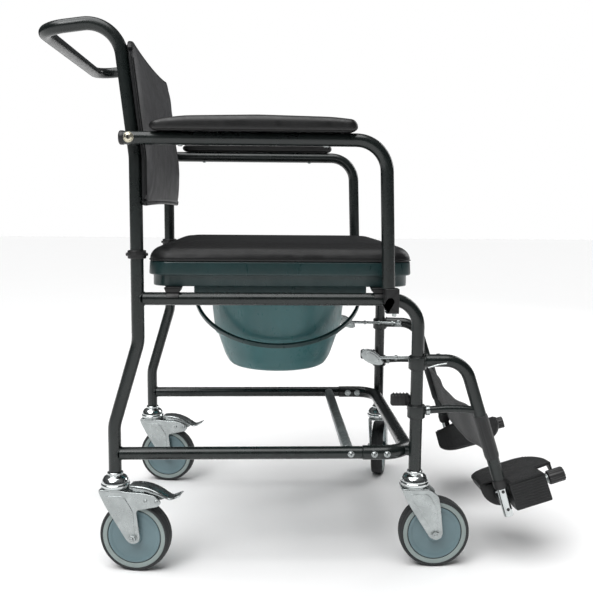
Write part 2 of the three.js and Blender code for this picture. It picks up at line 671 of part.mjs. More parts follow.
// Ribbed plate with a deep outer side, hinged on the rod: x along the rod, y inwards, z up.
function footplate(inward) {
  const { rear, front, inner, top, sheet } = PLATE;
  const block = PLATE_BLOCK;
  const deck = new THREE.Shape();
  deck.moveTo(rear, PLATE_NOTCH);
  deck.lineTo(block.rear, PLATE_NOTCH);
  deck.lineTo(block.rear, block.outer);
  deck.lineTo(block.front, block.outer);
  deck.lineTo(block.front, PLATE_NOTCH);
  deck.lineTo(front, PLATE_NOTCH + 6);
  const { along, across, rear: round } = PLATE_CORNER;
  deck.absellipse(front - along, inner - across, along, across, 0, Math.PI / 2);
  deck.absarc(rear + round, inner - round, round, Math.PI / 2, Math.PI);
  const slab = new THREE.ExtrudeGeometry(deck, {
    depth: sheet, steps: 1, bevelEnabled: false, curveSegments: 5,
  }).translate(0, 0, top - sheet);
  const low = top - block.depth;
  const cheek = plate([[rear, top - 1], [block.rear + 2, top - 1], [block.rear + 2, low], [8, low],
    [-8, low + 10], [-20, low + 20], [rear, top - 12]], PLATE_NOTCH, PLATE_NOTCH + 4);
  const skirt = box(rear, rear + 4, PLATE_NOTCH + 2, inner - round - 2, top - 12, top - 1);
  const toe = box(front - 4, front, PLATE_NOTCH + 7, inner - across, top - 20, top - 1);
  const side = box(block.rear, block.front, block.outer, block.outer + 5, top - block.depth, top - 1);
  const ends = [block.rear, block.front - block.wall].map((x) =>
    box(x, x + block.wall, block.outer + 1, 9, top - block.depth, top - 1));
  const bore = rod([0, 0, 0], [block.front + 10, 0, 0], ROD_R + 0.6);
  const solid = cut(join(slab, cheek, skirt, toe, side, ...ends), bore);
  return inward > 0 ? solid : solid.scale(1, -1, 1);
}

// Half of the calf strap: a flat band from the hanger's tube to the middle of the chair.
function strapHalf(side, toeIn) {
  const swing = radians(-side * toeIn);
  const legY = side * TRACK;
  const corners = [];
  for (const s of [STRAP.top, STRAP.bottom]) {
    const [x, z] = onSlope(s);
    const [midX, midZ] = onSlope(s + STRAP.sag);
    for (const offset of [-STRAP.half, STRAP.half]) {
      const localX = x + offset * Math.cos(RAKE);
      const inner = -side * (TUBE_R + 0.6);
      const edgeZ = z + offset * Math.sin(RAKE);
      corners.push(new THREE.Vector3(
        FRONT_LEG_X + localX * Math.cos(swing) - inner * Math.sin(swing),
        legY + localX * Math.sin(swing) + inner * Math.cos(swing), edgeZ));
      corners.push(new THREE.Vector3(
        FRONT_LEG_X + midX + offset * Math.cos(RAKE), side * 0.3, midZ + offset * Math.sin(RAKE)));
    }
  }
  return new ConvexGeometry(corners);
}

for (const [side, toeIn] of TOE_IN) {
  const name = side === RIGHT ? 'right' : 'left';
  const inward = -side;
  const footrest = new THREE.Group();
  footrest.position.set(FRONT_LEG_X, side * TRACK, 0);
  footrest.rotation.z = radians(-side * toeIn);
  chair.add(footrest);
  place(footrest, `hanger_${name}`, hanger(inward), FRAME_PAINT);
  place(footrest, `release_lever_${name}`, releaseLever(inward), ZINC);

  const [rodX, rodZ] = onSlope(ROD_S);
  const lower = new THREE.Group();
  lower.position.set(rodX, 0, rodZ);
  lower.rotation.y = -RAKE;
  footrest.add(lower);
  place(lower, `extension_tube_${name}`, extensionTube(inward), ZINC);

  const hinge = new THREE.Group();
  hinge.position.set(0, inward * ROD_IN, 0);
  hinge.rotation.x = radians(-inward * PLATE_TILT);
  lower.add(hinge);
  place(hinge, `footplate_${name}`, footplate(inward), PLATE_PLASTIC);
  place(chair, `calf_strap_${name}`, strapHalf(side, toeIn), WEBBING);
}

export default chair;
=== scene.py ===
"""Wheeled commode chair: the visual model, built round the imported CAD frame. Metres, row frame."""
import math

import bmesh
import bpy
import numpy as np
from mathutils import Matrix, Vector, noise


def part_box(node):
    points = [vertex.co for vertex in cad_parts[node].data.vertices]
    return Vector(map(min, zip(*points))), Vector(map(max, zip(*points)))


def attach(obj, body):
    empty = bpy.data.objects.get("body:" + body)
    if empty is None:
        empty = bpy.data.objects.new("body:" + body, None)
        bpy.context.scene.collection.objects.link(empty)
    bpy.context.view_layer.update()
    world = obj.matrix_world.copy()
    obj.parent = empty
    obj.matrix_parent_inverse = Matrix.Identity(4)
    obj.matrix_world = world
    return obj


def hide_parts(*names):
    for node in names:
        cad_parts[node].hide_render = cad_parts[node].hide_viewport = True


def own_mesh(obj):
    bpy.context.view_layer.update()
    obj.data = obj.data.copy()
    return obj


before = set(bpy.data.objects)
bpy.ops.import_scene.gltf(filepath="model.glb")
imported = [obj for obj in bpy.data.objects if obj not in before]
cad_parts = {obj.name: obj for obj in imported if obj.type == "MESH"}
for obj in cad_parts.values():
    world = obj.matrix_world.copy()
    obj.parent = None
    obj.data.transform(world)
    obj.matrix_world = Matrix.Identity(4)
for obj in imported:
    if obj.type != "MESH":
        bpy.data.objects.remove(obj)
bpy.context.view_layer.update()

# ---------------------------------------------------------------- sizes
pad_low, pad_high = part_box("seat_pad")
MID_Y = (pad_low.y + pad_high.y) / 2        # the chair's middle plane
CHAIR = Matrix.Translation((0, MID_Y, 0))   # every local size below is measured from that plane
SIDES = ((-1, "right"), (1, "left"))

TUBE_R = 0.011
TRACK = 0.230
REAR_FOOT_X = -0.337
POST_X = -0.294
FRONT_LEG_X = 0.186
LEG_LOW_Z = 0.174
LOWER_RAIL_Z = 0.205
SEAT_RAIL_Z = 0.475
COLLAR_Z = 0.550
BACK_KINK_Z = 0.712
HANDLE_TOP = (-0.320, 0.9326)
HANDLE_REAR = (-0.446, 0.915)
SLEEVE_R = 0.0125
SLEEVE_X = 0.093
U_TUBE_X = 0.175
U_BEND_R = 0.045
CROSS_BAR_X = 0.069

ARM_Y = 0.256
ARM_Z = 0.741
ARM_PIVOT_X = -0.299
ARM_REAR_X = -0.314
ARM_CORNER_X = 0.121
ARM_FOOT = (0.129, 0.497)
STUD = (0.131, 0.475)
BUTTON_X = 0.1395

PAIL_X = -0.053
BAIL_Z = 0.471
BAIL_R = 0.162
WHEEL_R = 0.0625
WHEEL_Z = WHEEL_R * math.cos(math.pi / 24)  # the CAD tyre stands on a facet
TRAIL = 0.036
PEDAL_PIVOT = (0.046, 0.135)
CASTORS = (("rear_right", REAR_FOOT_X, -TRACK, -10, True), ("rear_left", REAR_FOOT_X, TRACK, -10, True),
           ("front_right", FRONT_LEG_X, -TRACK, 0, False), ("front_left", FRONT_LEG_X, TRACK, 77, False))

HANGER_Z = 0.3685
RAKE = math.radians(17.7)
SIGHT = (0.107, 0.290)                      # a point on the sloping footrest tube's axis
ROD_S = 0.183                               # the footplate's rod, down the slope from that point
ROD_IN = 0.037
STAY_Z = 0.281
TOE_IN = {"right": 0, "left": 8}
PLATE_TILT = 8


# ---------------------------------------------------------------- camera
def make_camera():
    place = Vector((-0.07701, -1.60696, 0.63392))
    yaw, pitch, roll = 0.0387438, 0.1160248, 0.0078170
    forward = Vector((math.sin(yaw) * math.cos(pitch), math.cos(yaw) * math.cos(pitch), -math.sin(pitch)))
    level = Vector((math.cos(yaw), -math.sin(yaw), 0))
    upright = level.cross(forward)
    right = level * math.cos(roll) + upright * math.sin(roll)
    up = upright * math.cos(roll) - level * math.sin(roll)
    data = bpy.data.cameras.new("camera")
    data.sensor_width = 36
    data.lens = 48.19
    camera = bpy.data.objects.new("camera", data)
    camera.matrix_world = Matrix.Translation(place) @ Matrix((right, up, -forward)).transposed().to_4x4()
    bpy.context.scene.collection.objects.link(camera)
    bpy.context.scene.camera = camera


make_camera()


# ---------------------------------------------------------------- materials
class Nodes:
    """A small helper for building a material's node tree on its Principled shader."""

    def __init__(self, name, roughness, metallic=0.0, **sockets):
        self.material = bpy.data.materials.new(name)
        self.material.use_nodes = True
        self.tree = self.material.node_tree
        self.shader = self.tree.nodes["Principled BSDF"]
        self.shader.inputs["Metallic"].default_value = metallic
        self.shader.inputs["Roughness"].default_value = roughness
        for key, value in sockets.items():
            self.shader.inputs[key.replace("_", " ")].default_value = value
        self.place = self.add("ShaderNodeTexCoord").outputs["Object"]
        self.height = None

    def add(self, kind, **settings):
        node = self.tree.nodes.new(kind)
        for key, value in settings.items():
            setattr(node, key, value)
        return node

    def link(self, out, into):
        self.tree.links.new(out, into)

    def noise(self, scale, detail=3.0, roughness=0.55, stretch=None, distortion=0.0):
        node = self.add("ShaderNodeTexNoise")
        node.inputs["Scale"].default_value = scale
        node.inputs["Detail"].default_value = detail
        node.inputs["Roughness"].default_value = roughness
        node.inputs["Distortion"].default_value = distortion
        if stretch:
            mapping = self.add("ShaderNodeMapping")
            mapping.inputs["Scale"].default_value = stretch
            self.link(self.place, mapping.inputs["Vector"])
            self.link(mapping.outputs["Vector"], node.inputs["Vector"])
        else:
            self.link(self.place, node.inputs["Vector"])
        return node.outputs["Fac"]

    def cells(self, scale, feature="F1"):
        node = self.add("ShaderNodeTexVoronoi", feature=feature)
        node.inputs["Scale"].default_value = scale
        self.link(self.place, node.inputs["Vector"])
        return node.outputs["Distance"]

    def remap(self, value, low, high, from_low=0.0, from_high=1.0):
        node = self.add("ShaderNodeMapRange")
        node.inputs["From Min"].default_value = from_low
        node.inputs["From Max"].default_value = from_high
        node.inputs["To Min"].default_value = low
        node.inputs["To Max"].default_value = high
        self.link(value, node.inputs["Value"])
        return node.outputs["Result"]

    def vary_colour(self, factor, dark, light):
        node = self.add("ShaderNodeMix", data_type="RGBA")
        node.inputs["A"].default_value = (*dark, 1)
        node.inputs["B"].default_value = (*light, 1)
        self.link(factor, node.inputs["Factor"])
        return node.outputs["Result"]

    def blend_colour(self, factor, base, over):
        node = self.add("ShaderNodeMix", data_type="RGBA")
        self.link(factor, node.inputs["Factor"])
        self.link(base, node.inputs["A"])
        node.inputs["B"].default_value = (*over, 1)
        return node.outputs["Result"]

    def set_colour(self, out):
        self.link(out, self.shader.inputs["Base Color"])

    def set_roughness(self, out):
        self.link(out, self.shader.inputs["Roughness"])

    def bump(self, height, distance, strength=1.0):
        node = self.add("ShaderNodeBump")
        node.inputs["Strength"].default_value = strength
        node.inputs["Distance"].default_value = distance
        self.link(height, node.inputs["Height"])
        if self.height is not None:
            self.link(self.height, node.inputs["Normal"])
        self.height = node.outputs["Normal"]
        self.link(self.height, self.shader.inputs["Normal"])

    def worn_edges(self, base, worn, low=0.53, high=0.60):
        """Rubbed paint or plastic on convex edges, broken up by noise."""
        edge = self.add("ShaderNodeNewGeometry").outputs["Pointiness"]
        mask = self.remap(edge, 0.0, 1.0, low, high)
        patches = self.remap(self.noise(90, 4), 0.0, 1.0, 0.45, 0.7)
        both = self.add("ShaderNodeMath", operation="MULTIPLY")
        self.link(mask, both.inputs[0])
        self.link(patches, both.inputs[1])
        return self.blend_colour(both.outputs["Value"], base, worn)


def scaled(colour, factor):
    return tuple(min(1.0, c * factor) for c in colour)


def painted(name, colour, roughness, metallic, coat=0.3, orange_peel=0.00006):
    """Powder coat: slight colour drift, orange-peel texture, fine metallic specks and rubbed edges."""
    m = Nodes(name, roughness, metallic, Coat_Weight=coat, Coat_Roughness=0.22)
    drift = m.vary_colour(m.remap(m.noise(9, 4), 0, 1, 0.3, 0.7), scaled(colour, 0.8), scaled(colour, 1.25))
    specks = m.remap(m.cells(2600), 1.0, 0.0, 0.05, 0.22)
    m.set_colour(m.worn_edges(m.blend_colour(specks, drift, scaled(colour, 1.9)), scaled(colour, 2.4)))
    m.set_roughness(m.remap(m.noise(26, 5, 0.65), roughness - 0.07, roughness + 0.1, 0.3, 0.7))
    m.bump(m.noise(420, 2), orange_peel)
    m.bump(m.noise(1500, 1), orange_peel * 0.4)
    return m.material


def moulded(name, colour, roughness, grain=900, depth=0.00005, spread=0.12, **sockets):
    """Moulded plastic: fine spark-eroded grain, slow colour drift and scuffs that dull the surface."""
    m = Nodes(name, roughness, 0, **sockets)
    drift = m.vary_colour(m.remap(m.noise(14, 4), 0, 1, 0.3, 0.7), scaled(colour, 1 - spread),
                          scaled(colour, 1 + spread))
    m.set_colour(m.worn_edges(drift, scaled(colour, 1.6)))
    scuffs = m.noise(60, 6, 0.7, stretch=(1, 1, 0.35), distortion=0.6)
    m.set_roughness(m.remap(scuffs, roughness - 0.08, roughness + 0.16, 0.35, 0.75))
    m.bump(m.noise(grain, 2, 0.6), depth)
    m.bump(m.noise(30, 3), depth * 4)
    return m.material


def plated(name, colour, roughness, brushed=None, tarnish=0.5):
    """Bright plating or zinc: faint draw lines, small tarnish clouds and pinprick pits."""
    m = Nodes(name, roughness, 1.0)
    clouds = m.remap(m.noise(38, 5, 0.6), 0, 1, 0.38, 0.72)
    tint = m.vary_colour(clouds, scaled(colour, 1 - 0.35 * tarnish), scaled(colour, 1.05))
    m.set_colour(tint)
    m.set_roughness(m.remap(m.noise(70, 6, 0.7), roughness * 0.7, roughness * 1.9, 0.3, 0.75))
    m.bump(m.noise(240, 3, stretch=brushed or (1, 1, 1)), 0.00005)
    m.bump(m.noise(60, 2), 0.0002, 0.5)
    return m.material


def vinyl(name, colour, roughness, light=1.35, grain=720, folds=0.0006):
    """Coated upholstery cloth: leather-grain cells with painted shade in their hollows, sheen of handling and soft
    drag wrinkles.
    """
    m = Nodes(name, roughness, 0, Specular_IOR_Level=0.32, Coat_Weight=0.06, Coat_Roughness=0.35)
    drift = m.vary_colour(m.remap(m.noise(11, 5, 0.6), 0, 1, 0.32, 0.7), scaled(colour, 0.8),
                          scaled(colour, light))
    grains = m.cells(grain)
    painted_pit_shade = m.remap(grains, 1.0, 0.0, 0.0, 0.5)
    # painted shade: the colour darkens towards the middle of each grain cell, the low point of the grain's bump
    m.set_colour(m.blend_colour(m.remap(painted_pit_shade, 0.0, 0.35), drift, scaled(colour, 0.55)))
    m.set_roughness(m.remap(m.noise(24, 6, 0.7), roughness - 0.1, roughness + 0.12, 0.3, 0.72))
    m.bump(grains, 0.00014, 0.8)
    m.bump(m.noise(1800, 2), 0.00005)
    m.bump(m.noise(16, 3, stretch=(1, 1.6, 0.6)), folds, 0.6)
    return m.material


def webbing(name, colour):
    """Woven strap: two crossing sets of yarns, with fuzz, and painted shade that darkens the low spots between the
    yarns.
    """
    m = Nodes(name, 0.8, 0, Sheen_Weight=0.3, Sheen_Roughness=0.5)
    rows = m.add("ShaderNodeTexWave", wave_type="BANDS", bands_direction="Z")
    columns = m.add("ShaderNodeTexWave", wave_type="BANDS", bands_direction="Y")
    for wave, scale in ((rows, 190), (columns, 150)):
        wave.inputs["Scale"].default_value = scale
        wave.inputs["Distortion"].default_value = 1.2
        wave.inputs["Detail"].default_value = 1
        wave.inputs["Detail Scale"].default_value = 3
        m.link(m.place, wave.inputs["Vector"])
    weave = m.add("ShaderNodeMath", operation="MULTIPLY")
    m.link(rows.outputs["Fac"], weave.inputs[0])
    m.link(columns.outputs["Fac"], weave.inputs[1])
    drift = m.vary_colour(m.remap(m.noise(30, 5), 0, 1, 0.3, 0.7), scaled(colour, 0.75), scaled(colour, 1.3))
    # painted shade: the colour darkens where the weave is low, between the yarns
    m.set_colour(m.blend_colour(m.remap(weave.outputs["Value"], 0.5, 0.0), drift, scaled(colour, 0.4)))
    m.bump(weave.outputs["Value"], 0.0003)
    m.bump(m.noise(1400, 3), 0.0001)
    return m.material


MATERIALS = {
    "frame_paint": painted("frame_paint", (0.0065, 0.0100, 0.0095), 0.27, 0.25),
    "grey_paint": painted("grey_paint", (0.16, 0.18, 0.18), 0.40, 0.4),
    "black_plastic": moulded("black_plastic", (0.006, 0.006, 0.0065), 0.42),
    "arm_foam": moulded("arm_foam", (0.0026, 0.0026, 0.0028), 0.44, grain=1300, depth=0.00004, Coat_Weight=0.08),
    "seat_vinyl": vinyl("seat_vinyl", (0.0042, 0.0044, 0.0048), 0.46),
    "back_vinyl": vinyl("back_vinyl", (0.040, 0.040, 0.043), 0.5),
    "back_trim": vinyl("back_trim", (0.006, 0.0064, 0.007), 0.45),
    "teal_plastic": moulded("teal_plastic", (0.009, 0.030, 0.031), 0.34),
    "pail_plastic": moulded("pail_plastic", (0.045, 0.150, 0.158), 0.32, Subsurface_Weight=0.05),
    "bail_plastic": moulded("bail_plastic", (0.010, 0.036, 0.037), 0.32),
    "zinc": plated("zinc", (0.44, 0.47, 0.47), 0.24),
    "chrome": plated("chrome", (0.62, 0.65, 0.65), 0.11, tarnish=0.25),
    "yellow_zinc": plated("yellow_zinc", (0.72, 0.68, 0.55), 0.25),
    "hub_plastic": moulded("hub_plastic", (0.135, 0.205, 0.225), 0.42),
    "ring_plastic": moulded("ring_plastic", (0.26, 0.31, 0.30), 0.5),
    "tyre_rubber": moulded("tyre_rubber", (0.016, 0.018, 0.019), 0.62, grain=500, depth=0.0001),
    "webbing": webbing("webbing", (0.020, 0.021, 0.022)),
    "thread": moulded("thread", (0.080, 0.082, 0.085), 0.7, grain=3000),
    "footplate_plastic": moulded("footplate_plastic", (0.008, 0.0085, 0.009), 0.46),
}


# ---------------------------------------------------------------- mesh helpers
def add_mesh(name, verts, faces, finish, body, node=None, place=CHAIR, sharp=38):
    """A piece from vertices and faces, in its material, riding on its body and standing for its CAD node."""
    mesh = bpy.data.meshes.new(name)
    mesh.from_pydata([tuple(place @ Vector(v)) for v in verts], [], faces)
    shape = bmesh.new()
    shape.from_mesh(mesh)
    bmesh.ops.recalc_face_normals(shape, faces=shape.faces)
    bmesh.ops.triangulate(shape, faces=[f for f in shape.faces if len(f.verts) > 4], ngon_method="EAR_CLIP")
    shape.to_mesh(mesh)
    shape.free()
    mesh.materials.append(MATERIALS[finish])
    mesh.shade_smooth()
    mesh.set_sharp_from_angle(angle=math.radians(sharp))
    obj = bpy.data.objects.new(name, mesh)
    bpy.context.scene.collection.objects.link(obj)
    if node:
        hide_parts(*([node] if isinstance(node, str) else node))
    if body:
        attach(obj, body)
    return obj


def bridge(rings, loop=False):
    """Quads between rings of vertex numbers; a ring of one number is a pole."""
    faces = []
    pairs = list(zip(rings, rings[1:]))
    if loop:
        pairs.append((rings[-1], rings[0]))
    for low, high in pairs:
        count = max(len(low), len(high))
        for i in range(count):
            j = (i + 1) % count
            if len(low) == 1:
                faces.append((low[0], high[i], high[j]))
            elif len(high) == 1:
                faces.append((low[i], low[j], high[0]))
            else:
                faces.append((low[i], low[j], high[j], high[i]))
    return faces


def soften(points, radius, closed=False, steps=4):
    """The same outline with each corner rounded; radius is how far the rounding reaches along each side."""
    points = [Vector(p) for p in points]
    result = []
    for i, corner in enumerate(points):
        if not closed and i in (0, len(points) - 1):
            result.append(corner)
            continue
        back = points[i - 1] - corner
        ahead = points[(i + 1) % len(points)] - corner
        reach = min(radius, back.length * 0.45, ahead.length * 0.45)
        start = corner + back.normalized() * reach
        end = corner + ahead.normalized() * reach
        for k in range(steps + 1):
            t = k / steps
            result.append(start * (1 - t) ** 2 + corner * 2 * t * (1 - t) + end * t * t)
    return result


def rounded(corners, bends, step=math.radians(6)):
    """A bent tube's axis: straight runs joined by arcs of the given bend radii."""
    points = [Vector(c) for c in corners]
    result = [points[0]]
    for before, corner, after, radius in zip(points, points[1:], points[2:], bends):
        inward = (corner - before).normalized()
        outward = (after - corner).normalized()
        turn = inward.angle(outward)
        start = corner - inward * radius * math.tan(turn / 2)
        across = (outward - inward * outward.dot(inward)).normalized()
        centre = start + across * radius
        count = max(2, math.ceil(turn / step))
        for k in range(count + 1):
            angle = turn * k / count
            result.append(centre - across * radius * math.cos(angle) + inward * radius * math.sin(angle))
    result.append(points[-1])
    return result


def circle(radius, sides=28):
    return [(radius * math.cos(2 * math.pi * i / sides), radius * math.sin(2 * math.pi * i / sides))
            for i in range(sides)]


def sweep(path, section, scales=None, loop=False, upright=None):
    """Vertices and faces of a section carried along a path without twisting."""
    path = [Vector(p) for p in path]
    count = len(path)
    tangents = []
    for i in range(count):
        ahead = path[(i + 1) % count] - path[i] if loop or i < count - 1 else Vector()
        behind = path[i] - path[i - 1] if loop or i > 0 else Vector()
        tangents.append((ahead.normalized() + behind.normalized()).normalized())
    side = Vector(upright) if upright else tangents[0].orthogonal()
    verts, rings = [], []
    for i, (point, tangent) in enumerate(zip(path, tangents)):
        side = (side - tangent * side.dot(tangent)).normalized()
        other = tangent.cross(side)
        size = scales[i] if scales else 1.0
        rings.append(list(range(len(verts), len(verts) + len(section))))
        verts += [point + side * (a * size) + other * (b * size) for a, b in section]
    faces = bridge(rings, loop)
    if not loop:
        faces += [tuple(reversed(rings[0])), tuple(rings[-1])]
    return verts, faces


def tube(name, path, radius, finish, body, node=None, place=CHAIR, chamfer=0.0006, sides=28):
    """Round tube or rod with eased ends."""
    path = [Vector(p) for p in path]
    first = (path[1] - path[0]).normalized()
    last = (path[-1] - path[-2]).normalized()
    inner = 1 - chamfer / radius
    points = [path[0], path[0] + first * chamfer, *path[1:-1], path[-1] - last * chamfer, path[-1]]
    scales = [inner, *([1.0] * (len(points) - 2)), inner]
    verts, faces = sweep(points, circle(radius, sides), scales)
    return add_mesh(name, verts, faces, finish, body, node, place)


def turned(name, profile, finish, body, node=None, place=CHAIR, segments=56, closed=False, sharp=38):
    """Turned about the local Z axis from [radius, z] points."""
    verts, rings = [], []
    for r, z in profile:
        if r < 1e-6:
            rings.append([len(verts)])
            verts.append((0, 0, z))
            continue
        rings.append(list(range(len(verts), len(verts) + segments)))
        verts += [(x, y, z) for x, y in circle(r, segments)]
    faces = bridge(rings, closed)
    return add_mesh(name, verts, faces, finish, body, node, place, sharp)


def area(outline):
    return sum(a.x * b.y - b.x * a.y for a, b in zip(outline, outline[1:] + outline[:1])) / 2


def inset(outline, distance):
    result = []
    for i, point in enumerate(outline):
        before = (point - outline[i - 1]).normalized()
        after = (outline[(i + 1) % len(outline)] - point).normalized()
        left = Vector((-before.y - after.y, before.x + after.x))
        if left.length < 1e-9:
            left = Vector((-after.y, after.x))
        left.normalize()
        spread = max(0.5, left.dot(Vector((-before.y, before.x))))
        result.append(point + left * (distance / spread))
    return result


def slab(outline, low, high, edge=0.0008):
    """Vertices and faces of an outline given thickness along local Z, with rounded edges."""
    outline = [Vector(p[:2]) for p in outline]
    if area(outline) < 0:
        outline.reverse()
    quarter = [math.pi / 2 * k / 3 for k in range(4)]
    levels = [(low + edge * (1 - math.sin(a)), edge * (1 - math.cos(a))) for a in reversed(quarter)]
    levels += [(high - edge * (1 - math.sin(a)), edge * (1 - math.cos(a))) for a in quarter]
    levels = [(low, edge * 1.5), *levels, (high, edge * 1.5)]
    verts, rings = [], []
    for height, distance in levels:
        rings.append(list(range(len(verts), len(verts) + len(outline))))
        verts += [(p.x, p.y, height) for p in inset(outline, distance)]
    faces = bridge(rings) + [tuple(reversed(rings[0])), tuple(rings[-1])]
    return verts, faces


# Local X, Y, Z of a slab, turned so that its outline lies in the chair's XZ or YZ plane.
UPRIGHT = Matrix(((1, 0, 0, 0), (0, 0, -1, 0), (0, 1, 0, 0), (0, 0, 0, 1)))
ENDWISE = Matrix(((0, 0, 1, 0), (1, 0, 0, 0), (0, 1, 0, 0), (0, 0, 0, 1)))


def side_plate(name, outline, y0, y1, finish, body, node=None, place=CHAIR, edge=0.0008):
    """A plate whose outline is in XZ, between two values of Y."""
    verts, faces = slab(outline, -max(y0, y1), -min(y0, y1), edge)
    return add_mesh(name, verts, faces, finish, body, node, place @ UPRIGHT)


def flat_plate(name, outline, z0, z1, finish, body, node=None, place=CHAIR, edge=0.0008):
    verts, faces = slab(outline, z0, z1, edge)
    return add_mesh(name, verts, faces, finish, body, node, place)


def end_plate(name, outline, x0, x1, finish, body, node=None, place=CHAIR, edge=0.0008):
    """A bar whose outline is in YZ, between two values of X."""
    verts, faces = slab(outline, x0, x1, edge)
    return add_mesh(name, verts, faces, finish, body, node, place @ ENDWISE)


def block(x0, x1, y0, y1, radius=0.001):
    """A rounded rectangle's outline."""
    return soften([(x0, y0), (x1, y0), (x1, y1), (x0, y1)], radius, closed=True)


def mirrored(outline, inward):
    """An outline drawn for the side whose inward direction is +Y, taken to the other side where it is -Y."""
    return [(p.x, inward * p.y) for p in outline]


def ring_profile(inner, outer, low, high, ease=0.0008):
    return soften([(inner, low), (outer, low), (outer, high), (inner, high)], ease, closed=True)


def facing(point, direction):
    """A local frame at a point, with Z along a direction."""
    return Matrix.Translation(Vector(point)) @ Vector(direction).to_track_quat("Z", "X").to_matrix().to_4x4()


def screw_head(name, point, direction, radius, height, body, finish="zinc", place=CHAIR, drive="cross"):
    """Domed screw head on a washer, with a small pit in its top; a cross drive adds two black bars, painted shade
    for its recess.
    """
    local = place @ facing(point, direction)
    dome = soften([(radius * 1.25, 0), (radius * 1.25, height * 0.22), (radius, height * 0.24),
                   (radius * 0.97, height * 0.55), (radius * 0.62, height), (radius * 0.34, height)],
                  radius * 0.18)
    turned(f"{name}_head", [*dome, (radius * 0.30, height * 0.5), (0, height * 0.45)], finish, body,
           place=local, segments=24)
    # painted shade: the cross recess is drawn as two thin black bars set into the dome, not cut into the head
    if drive == "cross":
        for k, turn in enumerate((0, math.pi / 2)):
            bar = block(-radius * 0.5, radius * 0.5, -radius * 0.07, radius * 0.07, radius * 0.05)
            flat_plate(f"{name}_recess_shade_{k}", bar, height * 0.6, height * 1.01, "black_plastic", body,
                       place=local @ Matrix.Rotation(turn + 0.4, 4, "Z"), edge=0.00005)


def hex_nut(name, point, direction, across, height, body, finish="zinc", place=CHAIR):
    """Chamfered hexagon nut with a washer under it."""
    corners = [(across / 2 / math.cos(math.pi / 6) * math.cos(math.radians(60 * k + 15)),
                across / 2 / math.cos(math.pi / 6) * math.sin(math.radians(60 * k + 15))) for k in range(6)]
    local = place @ facing(point, direction)
    flat_plate(name, soften(corners, across * 0.04, closed=True), 0.0008, height, finish, body,
               place=local, edge=across * 0.05)
    turned(f"{name}_washer", soften([(0, 0), (across * 0.68, 0), (across * 0.68, 0.0012), (0, 0.0012)], 0.0004),
           finish, body, place=local, segments=28)


def weld_bead(name, main_point, main_axis, branch_axis, main_radius, branch_radius, body, place=CHAIR):
    """Rippled bead along the seam where a branch tube meets a main tube."""
    main_axis, branch_axis = Vector(main_axis).normalized(), Vector(branch_axis).normalized()
    across = main_axis.cross(branch_axis).normalized()
    path = []
    for i in range(72):
        angle = 2 * math.pi * i / 72
        sideways = branch_radius * math.sin(angle)
        out = math.sqrt(max(main_radius ** 2 - sideways ** 2, 0.2 * main_radius ** 2))
        path.append(Vector(main_point) + branch_axis * (out + 0.0004)
                    + across * sideways + main_axis * branch_radius * math.cos(angle))
    ripples = [1.0 + 0.16 * math.sin(i * 2.1) for i in range(72)]
    verts, faces = sweep(path, circle(0.0015, 8), ripples, loop=True)
    add_mesh(name, verts, faces, "frame_paint", body, place=place, sharp=80)


# ---------------------------------------------------------------- main frame
def rear_legs():
    for side, name in SIDES:
        y = side * TRACK
        axis = rounded([(REAR_FOOT_X, y, LEG_LOW_Z), (REAR_FOOT_X, y, 0.255), (POST_X, y, 0.400),
                        (POST_X, y, COLLAR_Z - 0.0002)], [0.060, 0.060])
        tube(f"rear_leg_{name}", axis, TUBE_R, "frame_paint", "frame", f"rear_leg_lower_rail_{name}")
        tube(f"lower_rail_{name}", [(REAR_FOOT_X + 0.009, y, LOWER_RAIL_Z), (SLEEVE_X - 0.0003, y, LOWER_RAIL_Z)],
             TUBE_R, "frame_paint", "frame")
        weld_bead(f"weld_lower_rail_{name}", (REAR_FOOT_X, y, LOWER_RAIL_Z), (0, 0, 1), (1, 0, 0),
                  TUBE_R, TUBE_R - 0.0006, "frame")


def side_rails():
    for side, name in SIDES:
        y = side * TRACK
        axis = rounded([(POST_X + 0.0095, y, SEAT_RAIL_Z), (FRONT_LEG_X, y, SEAT_RAIL_Z),
                        (FRONT_LEG_X, y, LEG_LOW_Z)], [0.048])
        tube(f"side_rail_front_leg_tube_{name}", axis, TUBE_R, "frame_paint", "frame",
             f"side_rail_front_leg_{name}")
        weld_bead(f"weld_seat_rail_{name}", (POST_X, y, SEAT_RAIL_Z), (0, 0, 1), (1, 0, 0),
                  TUBE_R, TUBE_R - 0.0006, "frame")
        tube(f"arm_stud_{name}", [(STUD[0], y, STUD[1]), (STUD[0], side * 0.264, STUD[1])], 0.0039, "zinc",
             "frame", chamfer=0.0008)


